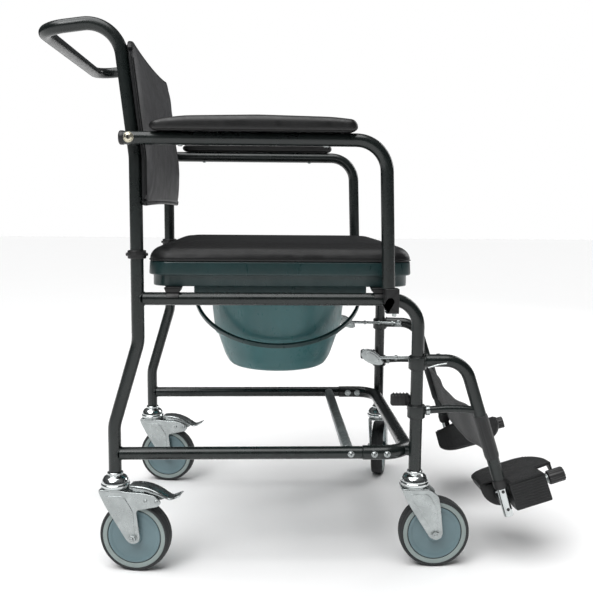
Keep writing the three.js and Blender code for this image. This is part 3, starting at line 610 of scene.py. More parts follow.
def floor_tubes():
    tube("cross_bar", [(CROSS_BAR_X, -TRACK + 0.0113, LOWER_RAIL_Z), (CROSS_BAR_X, TRACK - 0.0113, LOWER_RAIL_Z)],
         0.010, "grey_paint", "frame", "lower_cross_bar")
    corners = [(SLEEVE_X, -TRACK, LOWER_RAIL_Z), (U_TUBE_X, -TRACK, LOWER_RAIL_Z),
               (U_TUBE_X, TRACK, LOWER_RAIL_Z), (SLEEVE_X, TRACK, LOWER_RAIL_Z)]
    tube("front_floor_tube", rounded(corners, [U_BEND_R, U_BEND_R]), SLEEVE_R, "frame_paint", "frame",
         "front_u_tube", chamfer=0.0009)
    for side, name in SIDES:
        y = side * TRACK
        centre = Vector((U_TUBE_X - U_BEND_R, side * (TRACK - U_BEND_R), LOWER_RAIL_Z))
        leg = Vector((FRONT_LEG_X, y, LOWER_RAIL_Z))
        reach = (centre - leg).normalized() * ((centre - leg).length - U_BEND_R)
        tube(f"front_stub_{name}", [leg, leg + reach], 0.0085, "frame_paint", "frame")
        for k, x in enumerate((0.113, 0.135)):
            screw_head(f"sleeve_bolt_{name}_{k}", (x, side * (TRACK + SLEEVE_R - 0.0006), LOWER_RAIL_Z),
                       (0, side, 0), 0.0046, 0.0028, "frame")
            hex_nut(f"sleeve_nut_{name}_{k}", (x, side * (TRACK - SLEEVE_R + 0.0004), LOWER_RAIL_Z),
                    (0, -side, 0), 0.0100, 0.0042, "frame")
        screw_head(f"cross_bar_bolt_{name}",
                   (CROSS_BAR_X + 0.003, side * (TRACK + TUBE_R - 0.0006), LOWER_RAIL_Z),
                   (0, side, 0), 0.0046, 0.0028, "frame")


def back_tube():
    def half(side):
        y = side * TRACK
        return [(POST_X, y, COLLAR_Z + 0.0002), (POST_X, y, BACK_KINK_Z), (HANDLE_TOP[0], y, HANDLE_TOP[1]),
                (HANDLE_REAR[0], y, HANDLE_REAR[1])]
    axis = rounded([*half(-1), *reversed(half(1))], [0.090, 0.055, 0.042, 0.042, 0.055, 0.090])
    tube("back_tube", axis, TUBE_R, "frame_paint", "frame", "back_frame")
    for side, name in SIDES:
        centre = Vector((POST_X, side * TRACK, COLLAR_Z))
        local = CHAIR @ Matrix.Translation(centre)
        turned(f"collar_{name}", ring_profile(0.0112, 0.0155, -0.007, 0.007, 0.0018), "black_plastic", "frame",
               f"post_collar_{name}", place=local, closed=True)
        turned(f"collar_band_{name}", ring_profile(0.0150, 0.0161, -0.0016, 0.0016, 0.0006), "black_plastic",
               "frame", place=local, closed=True)
        for k, direction in enumerate(((1, 0, 0), (-1, 0, 0))):
            point = centre + Vector(direction) * 0.0145
            turned(f"collar_pin_{name}_{k}", soften([(0, 0), (0.0029, 0), (0.0029, 0.0036), (0, 0.0046)], 0.0012),
                   "black_plastic", "frame", place=CHAIR @ facing(point, direction), segments=20)


# ---------------------------------------------------------------- arms
def smooth_curve(points, reach):
    """A function through [x, value] points, with its corners rounded over a distance."""
    xs = np.linspace(points[0][0], points[-1][0], 601)
    values = np.interp(xs, [p[0] for p in points], [p[1] for p in points])
    width = max(3, int(reach / (xs[1] - xs[0])) | 1)
    kernel = np.hanning(width + 2)[1:-1]
    padded = np.pad(values, width // 2, mode="edge")
    smooth = np.convolve(padded, kernel / kernel.sum(), mode="valid")
    return lambda x: float(np.interp(x, xs, smooth))


def end_round(distance, radius, power=2.4):
    """How far a form has grown to its full size, at a distance from its rounded end."""
    t = 1 - min(1.0, max(0.0, distance / radius))
    return (1 - t ** power) ** (1 / power)


def arm_pad(side, name):
    rear, front, low, half = -0.266, 0.072, 0.7526, 0.018
    centre = side * 0.264
    top = smooth_curve([(rear, 0.7655), (-0.250, 0.7715), (-0.210, 0.7765), (-0.090, 0.7792), (0.030, 0.7768),
                        (front, 0.7725)], 0.045)
    verts, rings = [], []
    stations = 61
    for i in range(stations):
        x = rear + (front - rear) * (1 - math.cos(math.pi * i / (stations - 1))) / 2
        plan = end_round(x - rear, 0.020) * end_round(front - x, 0.017)
        rise = end_round(x - rear, 0.011, 2.0) * end_round(front - x, 0.012, 2.0)
        if plan < 1e-4:
            rings.append([len(verts)])
            verts.append((x, centre, low + 0.008))
            continue
        ring = []
        for k in range(36):
            angle = 2 * math.pi * k / 36
            c, s = math.cos(angle), math.sin(angle)
            power = 2 / 2.9 if s > 0 else 2 / 4.5
            y = half * plan * math.copysign(abs(c) ** power, c)
            height = (top(x) - low - 0.008) * rise if s > 0 else 0.008 * rise
            ring.append((x, centre + y, low + 0.008 + height * math.copysign(abs(s) ** power, s)))
        rings.append(list(range(len(verts), len(verts) + 36)))
        verts += ring
    faces = bridge(rings)
    add_mesh(f"arm_cushion_{name}", verts, faces, "arm_foam", f"arm_{name}", f"arm_pad_{name}", sharp=70)
    outline = block(rear + 0.010, front - 0.009, centre - half + 0.004, centre + half - 0.004, 0.010)
    flat_plate(f"arm_pad_base_{name}", outline, low - 0.0005, low + 0.0040, "black_plastic", f"arm_{name}")


def arm_latch(side, name):
    outline = [(0.122, 0.4967), (0.122, 0.4686), (0.12702, 0.4773)]
    outline += [(STUD[0] + 0.0046 * math.cos(math.radians(a)), STUD[1] + 0.0046 * math.sin(math.radians(a)))
                for a in range(135, -30, -15)]
    outline += [(0.13498, 0.4727), (0.1248, 0.455), (0.146, 0.455), (0.146, 0.4967)]
    side_plate(f"latch_{name}", soften(outline, 0.0012, closed=True, steps=2), side * 0.244, side * 0.268,
               "black_plastic", f"arm_{name}", f"arm_latch_{name}", edge=0.0014)
    place = CHAIR @ facing((BUTTON_X, side * ARM_Y, 0.449), (0, 0, 1))
    turned(f"latch_button_{name}", soften([(0, 0), (0.0036, 0), (0.0036, 0.014), (0, 0.014)], 0.0016), "zinc",
           f"arm_button_{name}", f"arm_latch_button_{name}", place=place, segments=28)


def arms():
    for side, name in SIDES:
        y = side * ARM_Y
        body = f"arm_{name}"
        axis = rounded([(ARM_REAR_X, y, ARM_Z), (ARM_CORNER_X, y, ARM_Z), (ARM_FOOT[0], y, ARM_FOOT[1])], [0.052])
        tube(f"arm_bar_{name}", axis, TUBE_R, "frame_paint", body, f"arm_tube_{name}")
        plug = CHAIR @ facing((ARM_REAR_X + 0.006, y, ARM_Z), (-1, 0, 0))
        turned(f"arm_plug_{name}", soften([(0.0113, 0), (0.0116, 0.001), (0.0116, 0.0062), (0.0085, 0.0082),
                                           (0, 0.0086)], 0.0018), "black_plastic", body, place=plug, segments=40)
        turned(f"arm_spacer_{name}", ring_profile(0.0036, 0.009, 0, 0.0034, 0.0006), "black_plastic", "frame",
               f"arm_pivot_bolt_{name}", place=CHAIR @ facing((ARM_PIVOT_X, side * 0.2413, ARM_Z), (0, side, 0)),
               closed=True)
        screw_head(f"arm_bolt_{name}", (ARM_PIVOT_X, side * 0.2668, ARM_Z), (0, side, 0), 0.0068, 0.0046, "frame",
                   "yellow_zinc")
        tube(f"arm_bolt_shank_{name}", [(ARM_PIVOT_X, side * 0.228, ARM_Z), (ARM_PIVOT_X, side * 0.268, ARM_Z)],
             0.0039, "zinc", "frame")
        for k, x in enumerate((-0.217, 0.021)):
            screw_head(f"arm_pad_screw_{name}_{k}", (x, y, ARM_Z - TUBE_R + 0.0006), (0, 0, -1),
                       0.0040, 0.0026, body)
        arm_pad(side, name)
        arm_latch(side, name)


# ---------------------------------------------------------------- seat base, clips and pail guides
SEAT_REAR, SEAT_FRONT, SEAT_HALF, SEAT_CORNER = -0.280, 0.178, 0.225, 0.042


def seat_ring(inset_by, z):
    """The seat's plan outline, inset, with the same number of points whatever the inset."""
    x0, x1 = SEAT_REAR + inset_by, SEAT_FRONT - inset_by
    half = SEAT_HALF - inset_by
    corner = SEAT_CORNER - inset_by * 0.6
    points = []
    for cx, cy, start in ((x1 - corner, -half + corner, -90), (x1 - corner, half - corner, 0),
                          (x0 + corner, half - corner, 90), (x0 + corner, -half + corner, 180)):
        arc = [math.radians(start + 90 * k / 14) for k in range(15)]
        points += [Vector((cx + corner * math.cos(a), cy + corner * math.sin(a), z)) for a in arc]
        if start in (-90, 90):
            last, end = points[-1], -half + corner if start == 90 else half - corner
            run = [Vector((last.x, -end if start == 90 else end, z))]
        else:
            last = points[-1]
            run = [Vector((x0 + corner if start == 0 else x1 - corner, last.y, z))]
        points += [last.lerp(run[0], k / 16) for k in range(1, 16)]
    return points


def hole_ring(grow, z):
    a, b = 0.140 + grow, 0.105 + grow
    return [Vector((PAIL_X + a * math.cos(t), b * math.sin(t), z))
            for t in (math.atan2(p.y / b, (p.x - PAIL_X) / a) for p in seat_ring(0.02, z))]


def seat_base():
    rings = [hole_ring(0, 0.5312), hole_ring(0.0008, 0.5302), seat_ring(0.0120, 0.5300), seat_ring(0.0113, 0.5297),
             seat_ring(0.0110, 0.5290), seat_ring(0.0110, 0.4958), seat_ring(0.0106, 0.4951),
             seat_ring(0.0076, 0.4951), seat_ring(0.0071, 0.4958), seat_ring(0.0070, 0.4970),
             seat_ring(0.0070, 0.5130), seat_ring(0.0066, 0.5138), seat_ring(0.0056, 0.5141),
             seat_ring(0.0022, 0.5141), seat_ring(0.0008, 0.5145), seat_ring(0.0001, 0.5156),
             seat_ring(0.0, 0.5175), seat_ring(0.0012, 0.5345), seat_ring(0.0016, 0.5366),
             seat_ring(0.0028, 0.5377), seat_ring(0.0060, 0.5379), hole_ring(0.0010, 0.5379), hole_ring(0, 0.5370)]
    verts = [p for ring in rings for p in ring]
    size = len(rings[0])
    faces = bridge([list(range(i * size, (i + 1) * size)) for i in range(len(rings))], loop=True)
    add_mesh("seat_shell", verts, faces, "teal_plastic", "frame", "seat_base")
    for k, (x, reach) in enumerate((x, y) for x in (-0.23, -0.10, 0.02, 0.13) for y in (-0.198, 0.198)):
        end_plate(f"seat_rib_{k}", [(reach - 0.009, 0.5305), (reach + 0.009, 0.5305), (reach + 0.009, 0.500),
                                    (reach + 0.003, 0.500)], x - 0.001, x + 0.001, "teal_plastic", "frame",
                  edge=0.0003)


def seat_clips():
    for side, name in SIDES:
        for end, x in (("rear", -0.234), ("front", 0.118)):
            low, high = SEAT_RAIL_Z + TUBE_R + 0.0003, 0.4948
            outline = soften([(x - 0.011, low), (x + 0.011, low), (x + 0.0148, high), (x - 0.0148, high)], 0.0016,
                             closed=True)
            side_plate(f"clip_{end}_{name}", outline, side * 0.2072, side * 0.2398, "black_plastic", "frame",
                       f"seat_clip_{end}_{name}", edge=0.0012)
            saddle = [(TUBE_R + 0.0002) * Vector((math.cos(a), math.sin(a)))
                      for a in (math.radians(15 + 150 * k / 16) for k in range(17))]
            saddle += [(TUBE_R + 0.0022) * Vector((math.cos(a), math.sin(a)))
                       for a in (math.radians(165 - 150 * k / 16) for k in range(17))]
            place = CHAIR @ Matrix.Translation((0, side * TRACK, SEAT_RAIL_Z))
            end_plate(f"clip_saddle_{end}_{name}", saddle, x - 0.0105, x + 0.0105, "black_plastic", "frame",
                      place=place, edge=0.0005)


def pail_guides():
    for side, name in SIDES:
        web, wide, ledge, low = 0.153, 0.157, 0.141, 0.474
        outline = soften([(ledge, low), (wide, low), (wide, 0.5294), (web, 0.5294), (web, low + 0.004),
                          (ledge, low + 0.004)], 0.0012, closed=True)
        outline = [Vector((side * p.x, p.y)) for p in outline]
        end_plate(f"guide_{name}", outline, -0.205, 0.104, "teal_plastic", "frame", f"pan_guide_{name}",
                  edge=0.0008)
        stop = block(min(side * ledge, side * web), max(side * ledge, side * web), low + 0.002, 0.4996, 0.001)
        end_plate(f"guide_stop_{name}", stop, 0.100, 0.104, "teal_plastic", "frame", edge=0.0006)


# ---------------------------------------------------------------- pail
def pail():
    place = CHAIR @ Matrix.Translation((PAIL_X, 0, 0))
    outside = [(0, 0.3205), (0.060, 0.3205), (0.084, 0.3190), (0.094, 0.3235), (0.1035, 0.338),
               (0.1165, 0.376), (0.1185, 0.3825), (0.1232, 0.3845), (0.1246, 0.391), (0.1308, 0.449),
               (0.1312, 0.480), (0.1312, 0.4858)]
    inside = [(0.1284, 0.4858), (0.1282, 0.449), (0.1215, 0.391), (0.1195, 0.387), (0.1150, 0.384),
              (0.1135, 0.3765), (0.1005, 0.339), (0.091, 0.327), (0.083, 0.3220), (0, 0.3225)]
    lip = soften([outside[-2], outside[-1], inside[0], inside[1]], 0.0012)
    profile = soften(outside[:-1], 0.010, steps=6) + lip + soften(inside[1:], 0.008, steps=6)
    turned("pail_bowl", profile, "pail_plastic", "pail", "pail", place=place, segments=96, sharp=50)
    flange = soften([(0.1313, 0.479), (0.1498, 0.479), (0.1500, 0.4848), (0.1480, 0.4859), (0.1313, 0.4859)],
                    0.0012, closed=True)
    turned("pail_flange", flange, "pail_plastic", "pail", "pail_rim", place=place, segments=96, closed=True)
    for k in range(24):
        turn = Matrix.Rotation(math.radians(15 * k + 7.5), 4, "Z")
        rib = [(0.1314, 0.4792), (0.1470, 0.4792), (0.1322, 0.4670), (0.1306, 0.4640)]
        side_plate(f"pail_rib_{k}", rib, -0.0008, 0.0008, "pail_plastic", "pail", place=place @ turn, edge=0.0003)
    for end, name in ((-1, "rear"), (1, "front")):
        outline = soften([(end * 0.147, 0.4815), (end * 0.158, 0.4815), (end * 0.158, 0.4645),
                          (end * 0.147, 0.4645)], 0.002, closed=True)
        side_plate(f"pail_ear_{name}", outline, -0.0088, 0.0088, "pail_plastic", "pail", place=place, edge=0.0014)
        tube(f"pail_pin_{name}", [(end * 0.156, 0, BAIL_Z), (end * 0.166, 0, BAIL_Z)], 0.0028, "pail_plastic",
             "pail", place=place, sides=20)


def bail():
    """Half-round strip handle with an eye at each end, hanging over the right side of the pail."""
    place = CHAIR @ Matrix.Translation((PAIL_X, 0, BAIL_Z)) @ Matrix.Rotation(math.radians(33), 4, "X")
    path = [Vector((-BAIL_R * math.cos(math.pi * i / 48), -BAIL_R * math.sin(math.pi * i / 48) - 0.008, 0))
            for i in range(49)]
    path = [Vector((-BAIL_R, 0, 0)), *path, Vector((BAIL_R, 0, 0))]
    strip = soften([(-0.0045, -0.0030), (0.0045, -0.0030), (0.0045, 0.0030), (-0.0045, 0.0030)], 0.0018,
                   closed=True)
    verts, faces = sweep(path, [(p.x, p.y) for p in strip], upright=(0, 0, 1))
    add_mesh("bail_strip", verts, faces, "bail_plastic", "bail", "pail_bail", place=place, sharp=60)
    for end, name in ((-1, "rear"), (1, "front")):
        local = place @ facing((end * (BAIL_R - 0.003), 0, 0), (end, 0, 0))
        turned(f"bail_eye_{name}", ring_profile(0.0034, 0.0070, 0, 0.006, 0.001), "bail_plastic", "bail",
               place=local, closed=True, segments=32)


# ---------------------------------------------------------------- castors
FORK_OUT = 0.020
FORK_REAR_EDGE = [(-0.024, 0.144), (-0.022, 0.136), (-0.010, 0.113), (0.026, 0.056), (0.037, 0.051),
                  (0.047, 0.056), (0.049, 0.064)]
FORK_BRAKE_EDGE = [(0.043, 0.112), (0.082, 0.121), (0.088, 0.129), (0.078, 0.139), (0.058, 0.143), (0.024, 0.144)]
FORK_PLAIN_EDGE = [(0.044, 0.112), (0.040, 0.132), (0.024, 0.144)]


def castor_cup(name, place):
    base = 0.1480
    profile = [(0, base), (0.0243, base), (0.0250, base + 0.0008), (0.0250, base + 0.0045),
               (0.0240, base + 0.0056), (0.0232, base + 0.0066), (0.0236, base + 0.0080),
               (0.0225, base + 0.0120), (0.0195, base + 0.0165), (0.0150, base + 0.0192),
               (0.0132, base + 0.0200), (0.0138, base + 0.0212), (0.0138, base + 0.0238),
               (0.0128, base + 0.0250), (0.0112, 0.1736), (0, 0.1736)]
    turned(f"cup_{name}", soften(profile, 0.0012, steps=3), "chrome", "frame", f"castor_cup_{name}", place=place,
           segments=64)


def castor_fork(name, place, brake):
    body = f"castor_{name}"
    front_edge = FORK_BRAKE_EDGE if brake else FORK_PLAIN_EDGE
    outline = soften(FORK_REAR_EDGE + front_edge, 0.0055, closed=True, steps=5)
    for end, label in ((-1, "outer"), (1, "inner")):
        y0, y1 = end * 0.0172, end * FORK_OUT
        side_plate(f"fork_{label}_{name}", outline, y0, y1, "zinc", body,
                   f"castor_fork_{name}" if end < 0 else None, place=place, edge=0.0009)
        swage = soften([(-0.012, 0.136), (0.000, 0.116), (0.029, 0.070), (0.040, 0.068), (0.038, 0.110),
                        (0.022, 0.136)], 0.008, closed=True, steps=5)
        side_plate(f"fork_swage_{label}_{name}", swage, end * 0.0190, end * 0.0208, "zinc", body, place=place,
                   edge=0.0008)
        hex_nut(f"axle_nut_{label}_{name}", (TRAIL, end * FORK_OUT, WHEEL_Z), (0, end, 0), 0.0130, 0.0052, body,
                place=place)
        turned(f"axle_end_{label}_{name}", soften([(0, 0), (0.0036, 0), (0.0036, 0.0068), (0, 0.0074)], 0.0010),
               "zinc", body, place=place @ facing((TRAIL, end * (FORK_OUT + 0.0004), WHEEL_Z), (0, end, 0)),
               segments=24)
        if brake:
            for k, (x, z) in enumerate(((0.060, 0.130), (0.079, 0.130))):
                screw_head(f"brake_rivet_{label}_{name}_{k}", (x, end * FORK_OUT, z), (0, end, 0), 0.0030, 0.0020,
                           body, place=place, drive="none")
    flat_plate(f"fork_crown_{name}", block(-0.024, 0.025, -FORK_OUT, FORK_OUT, 0.004), 0.1414, 0.1446, "zinc",
               body, place=place, edge=0.0012)
    race = soften([(0, 0.1440), (0.0222, 0.1440), (0.0222, 0.1474), (0, 0.1476)], 0.0010)
    turned(f"fork_race_{name}", race, "zinc", body, place=place)
    tube(f"axle_{name}", [(TRAIL, -0.0175, WHEEL_Z), (TRAIL, 0.0175, WHEEL_Z)], 0.0055, "zinc", body, place=place)


def wheel(name, place):
    body = f"wheel_{name}"
    local = place @ Matrix.Translation((TRAIL, 0, WHEEL_Z)) @ Matrix.Rotation(math.pi / 2, 4, "X")
    half = 0.0135
    tread = [(0.0556, -half + 0.001), (0.0592, -half), (0.0616, -half + 0.003), (0.0622, -0.0052),
             (0.0616, -0.0047), (0.0616, -0.0041), (0.0624, -0.0036), (0.0624, 0.0036), (0.0616, 0.0041),
             (0.0616, 0.0047), (0.0622, 0.0052), (0.0616, half - 0.003), (0.0592, half), (0.0556, half - 0.001)]
    turned(f"tread_{name}", soften(tread, 0.0010, closed=True, steps=2), "tyre_rubber", body, f"tyre_{name}",
           place=local, segments=96, closed=True)
    band = [(0.0482, -0.0116), (0.0488, -0.0124), (0.0550, -0.0130), (0.0560, -0.0122), (0.0560, 0.0122),
            (0.0550, 0.0130), (0.0488, 0.0124), (0.0482, 0.0116)]
    turned(f"tyre_band_{name}", soften(band, 0.0006, closed=True, steps=2), "ring_plastic", body, place=local,
           segments=96, closed=True)
    # painted shade: a black rubber ring fills the recessed groove between the band and the hub
    turned(f"groove_shade_ring_{name}", ring_profile(0.0455, 0.0490, -0.0105, 0.0105, 0.0005), "tyre_rubber", body,
           place=local, segments=96, closed=True)
    side = [(0.0062, 0.0160), (0.0120, 0.0160), (0.0134, 0.0152), (0.0142, 0.0112), (0.0165, 0.0100),
            (0.0330, 0.0096), (0.0390, 0.0101), (0.0425, 0.0118), (0.0458, 0.0122), (0.0468, 0.0112)]
    disc = soften(side, 0.0014, steps=3)
    profile = [*[Vector((p.x, p.y)) for p in disc], *[Vector((p.x, -p.y)) for p in reversed(disc)]]
    turned(f"wheel_hub_{name}", profile, "hub_plastic", body, f"hub_{name}", place=local, segments=96,
           closed=True)


def brake_pedal(name, place):
    """Pressed steel foot lever: a channel that flattens and turns up at its tip."""
    body = f"brake_pedal_{name}"
    top = soften([(0.029, 0.1530), (0.046, 0.1537), (0.062, 0.1517), (0.078, 0.1457), (0.092, 0.1377),
                  (0.100, 0.1337), (0.107, 0.1360), (0.118, 0.1410)], 0.008, steps=4)
    half = smooth_curve([(0.029, 0.0118), (0.040, 0.0148), (0.082, 0.0148), (0.100, 0.0125), (0.112, 0.0140),
                         (0.118, 0.0120)], 0.008)
    flange = smooth_curve([(0.029, 0.0060), (0.070, 0.0070), (0.092, 0.0030), (0.118, 0.0022)], 0.010)
    sheet = 0.0018
    verts, rings = [], []
    for i, p in enumerate(top):
        ahead = top[min(i + 1, len(top) - 1)] - top[max(i - 1, 0)]
        down = Vector((ahead.y, -ahead.x)).normalized()
        w, f = half(p.x), flange(p.x)
        section = [(-w, f), (-w, 0.0014), (-w + 0.0014, 0), (0, -0.0003), (w - 0.0014, 0), (w, 0.0014), (w, f),
                   (w - sheet, f), (w - sheet, sheet + 0.0006), (w - sheet - 0.0006, sheet), (0, sheet - 0.0003),
                   (-w + sheet + 0.0006, sheet), (-w + sheet, sheet + 0.0006), (-w + sheet, f)]
        rings.append(list(range(len(verts), len(verts) + len(section))))
        verts += [(p.x + down.x * d, y, p.y + down.y * d) for y, d in section]
    faces = bridge(rings) + [tuple(reversed(rings[0])), tuple(rings[-1])]
    add_mesh(f"pedal_{name}", verts, faces, "zinc", body, f"brake_pedal_{name}", place=place, sharp=50)
    px, pz = PEDAL_PIVOT
    lug = soften([(px - 0.005, pz - 0.004), (px + 0.005, pz - 0.004), (px + 0.012, 0.150), (px - 0.012, 0.150)],
                 0.003, closed=True)
    for end, label in ((-1, "outer"), (1, "inner")):
        side_plate(f"pedal_lug_{label}_{name}", lug, end * 0.0122, end * 0.0146, "zinc", body, place=place)
    tube(f"pedal_pin_{name}", [(px, -0.015, pz), (px, 0.015, pz)], 0.003, "zinc", body, place=place)


def castors():
    for name, x, y, yaw, brake in CASTORS:
        place = CHAIR @ Matrix.Translation((x, y, 0)) @ Matrix.Rotation(math.radians(yaw), 4, "Z")
        castor_cup(name, place)
        castor_fork(name, place, brake)
        wheel(name, place)
        if brake:
            brake_pedal(name, place)


# ---------------------------------------------------------------- footrests
def on_slope(s):
    return SIGHT[0] + math.sin(RAKE) * s, SIGHT[1] - math.cos(RAKE) * s


def hanger(name, inward, place):
    body = f"footrest_{name}"
    end_x, end_z = on_slope(0.157)
    axis = rounded([(0.0130, 0, HANGER_Z), (0.082, 0, HANGER_Z), (end_x, 0, end_z)], [0.045])
    tube(f"hanger_tube_{name}", axis, TUBE_R, "frame_paint", body, f"hanger_{name}", place=place)
    weld_bead(f"weld_hanger_{name}", (0, 0, HANGER_Z), (0, 0, 1), (1, 0, 0), 0.0152, 0.0106, body, place)
    mouth = place @ facing((end_x, 0, end_z), (math.sin(RAKE), 0, -math.cos(RAKE)))
    turned(f"hanger_mouth_{name}", ring_profile(0.0088, 0.0106, -0.0020, 0.0008, 0.0004), "black_plastic", body,
           place=mouth, closed=True)
    turned(f"hanger_collar_{name}", ring_profile(0.0109, 0.0122, -0.0160, -0.0020, 0.0010), "black_plastic", body,
           place=mouth, closed=True)
    for k, (z0, z1) in enumerate(((0.354, 0.376), (0.268, 0.290))):
        turned(f"hanger_ring_{name}_{k}", ring_profile(0.0113, 0.0155, z0, z1, 0.0014), "frame_paint", body,
               place=place, closed=True)
        turned(f"hanger_bush_{name}_{k}", ring_profile(0.0112, 0.0136, z0 - 0.0012, z1 + 0.0012, 0.0006),
               "black_plastic", body, place=place, closed=True)
    arch = [(0.0130 + 0.096 * k / 16, 0, STAY_Z - 0.0010 + 0.0030 * math.sin(math.pi * k / 16))
            for k in range(17)]
    tube(f"stay_{name}", arch, 0.0066, "frame_paint", body, place=place)
    stay_end = place @ facing((0.0165, 0, STAY_Z - 0.0006), (1, 0, 0))
    turned(f"stay_clip_{name}", ring_profile(0.0068, 0.0084, 0, 0.007, 0.0008), "zinc", body, place=stay_end,
           closed=True)
    wire = [(0.016, -inward * 0.0128, 0.358), (0.032, -inward * 0.0140, 0.3635), (0.049, -inward * 0.0128, 0.366)]
    tube(f"lock_wire_{name}", rounded(wire, [0.03]), 0.0013, "chrome", body, place=place, sides=12)
    lug = soften([(0.032, 0.004), (0.050, 0.004), (0.050, 0.020), (0.046, 0.0265), (0.036, 0.0265),
                  (0.032, 0.020)], 0.005, closed=True)
    flat_plate(f"lever_lug_{name}", mirrored(lug, inward), 0.3620, 0.3660, "zinc", body, place=place)
    screw_head(f"lever_pivot_{name}", (0.041, inward * 0.020, 0.3736), (0, 0, 1), 0.0052, 0.0032, body,
               place=place)
    grip = block(-0.043, -0.008, 0.009, 0.023, 0.005)
    flat_plate(f"footrest_grip_{name}", mirrored(grip, inward), 0.285, 0.306, "black_plastic", body,
               place=place, edge=0.0040)
    for k in range(5):
        x = -0.037 + 0.006 * k
        groove = block(x - 0.0012, x + 0.0012, 0.0082, 0.0238, 0.0006)
        flat_plate(f"grip_rib_{name}_{k}", mirrored(groove, inward), 0.2862, 0.3066, "black_plastic",
                   body, place=place, edge=0.0006)
    root = block(-0.014, -0.004, 0.008, 0.016, 0.002)
    flat_plate(f"grip_root_{name}", mirrored(root, inward), 0.278, 0.300, "black_plastic", body,
               place=place, edge=0.0012)


def release_lever(name, inward, place):
    body = f"lever_{name}"
    y, mid = inward * 0.020, 0.3697
    local = place @ Matrix.Translation((0.041, y, 0))
    turned(f"lever_eye_{name}", ring_profile(0.0034, 0.0070, 0.3664, 0.3730, 0.0010), "zinc", body,
           f"release_lever_{name}", place=local, closed=True)
    tube(f"lever_rod_{name}", [(0.036, y, mid), (-0.064, y, mid)], 0.0030, "zinc", body, place=place)
    for k, x in enumerate((0.026, -0.004, -0.036)):
        turned(f"lever_collar_{name}_{k}", ring_profile(0.0029, 0.0046, 0, 0.004, 0.0010), "zinc", body,
               place=place @ facing((x, y, mid), (1, 0, 0)), closed=True, segments=28)
    outline = []
    for i in range(40):
        angle = 2 * math.pi * i / 40
        along, across = 0.022 * math.cos(angle), 0.011 * math.sin(angle) * (1 - 0.18 * math.cos(angle))
        outline.append((-0.076 + along * 0.87 + across * 0.5, 0.370 - along * 0.5 + across * 0.87))
    low, high = sorted((inward * 0.0176, inward * 0.0224))
    side_plate(f"lever_spoon_{name}", outline, low, high, "zinc", body, place=place, edge=0.0020)
    dish = [(-0.076 + (x + 0.076) * 0.62, 0.370 + (z - 0.370) * 0.62) for x, z in outline]
    side_plate(f"lever_thumb_{name}", dish, low - 0.0005, high + 0.0005, "zinc", body, place=place, edge=0.0010)


def extension(name, inward, lower):
    body = f"extension_{name}"
    y = inward * ROD_IN
    tube(f"extension_{name}_tube", [(0, 0, -0.028), (0, 0, ROD_S - 0.020)], 0.0086, "chrome", body,
         f"extension_tube_{name}", place=lower)
    plug = lower @ facing((0, 0, -0.0278), (0, 0, -1))
    cap = soften([(0, -0.001), (0.0074, -0.001), (0.0074, 0.0004), (0, 0.0010)], 0.0006)
    turned(f"extension_plug_{name}", cap, "black_plastic", body, place=plug, segments=32)
    # painted shade: each adjusting hole is a thin black disc on the tube's surface, standing for the hole's dark
    # inside
    for k, z in enumerate((-0.014, 0.020)):
        for side in (-1, 1):
            turned(f"adjust_hole_{name}_{k}_{'in' if side > 0 else 'out'}",
                   soften([(0, 0), (0.0030, 0), (0.0030, 0.0004), (0, 0.0004)], 0.0002), "black_plastic", body,
                   place=lower @ facing((0, side * 0.0084, z), (0, side, 0)), segments=20)
    outline = block(-0.008, 0.008, -0.006, ROD_IN + 0.0055, 0.0040)
    flat_plate(f"rod_bracket_{name}", mirrored(outline, inward), -0.009, 0.004, "black_plastic",
               body, place=lower, edge=0.0016)
    tube(f"footplate_rod_{name}", [(-0.006, y, 0), (0.0945, y, 0)], 0.0055, "zinc", body, place=lower)
    hex_nut(f"footplate_nut_{name}", (0.0815, y, 0), (1, 0, 0), 0.0170, 0.0075, body, place=lower)
    flutes = []
    for i in range(96):
        angle = 2 * math.pi * i / 96
        radius = 0.0124 + 0.0006 * math.cos(12 * angle)
        flutes.append((y + radius * math.cos(angle), radius * math.sin(angle)))
    end_plate(f"knob_{name}", flutes, 0.093, 0.124, "black_plastic", body, place=lower, edge=0.0028)
    turned(f"knob_washer_{name}", ring_profile(0.005, 0.0095, 0, 0.0014, 0.0005), "zinc", body,
           place=lower @ facing((0.0914, y, 0), (1, 0, 0)), closed=True, segments=36)


# The footplate, from its rod: X along the rod, Y inwards, Z up the tube.
PLATE_REAR, PLATE_FRONT = -0.028, 0.110
PLATE_OUTER, PLATE_INNER = -0.048, 0.116
PLATE_TOP, PLATE_LOW = 0.0241, -0.026
NOTCH = 0.007                               # the deck's edge where it clears the tube
BLOCK_REAR, BLOCK_FRONT = 0.014, 0.080      # the deep box round the rod
FRONT_CORNER = (0.048, 0.080)               # reach of the oval corner in X and in Y
REAR_CORNER = 0.040


def deck_outline():
    along, across = FRONT_CORNER
    corner_front = [(PLATE_FRONT - along + along * math.cos(a), PLATE_INNER - across + across * math.sin(a))
                    for a in (math.radians(90 * k / 18) for k in range(19))]
    corner_rear = [(PLATE_REAR + REAR_CORNER - REAR_CORNER * math.sin(a),
                    PLATE_INNER - REAR_CORNER + REAR_CORNER * math.cos(a))
                   for a in (math.radians(90 * k / 12) for k in range(13))]
    start = [(PLATE_REAR, NOTCH), (BLOCK_REAR, NOTCH), (BLOCK_REAR, PLATE_OUTER), (BLOCK_FRONT, PLATE_OUTER),
             (BLOCK_FRONT, NOTCH), (PLATE_FRONT, 0.013)]
    return [Vector(p) for p in start + corner_front + corner_rear]


def width_at(outline, y):
    """The span of X inside an outline at a given Y."""
    hits = []
    for a, b in zip(outline, outline[1:] + outline[:1]):
        if (a.y - y) * (b.y - y) < 0:
            hits.append(a.x + (b.x - a.x) * (y - a.y) / (b.y - a.y))
    return min(hits), max(hits)


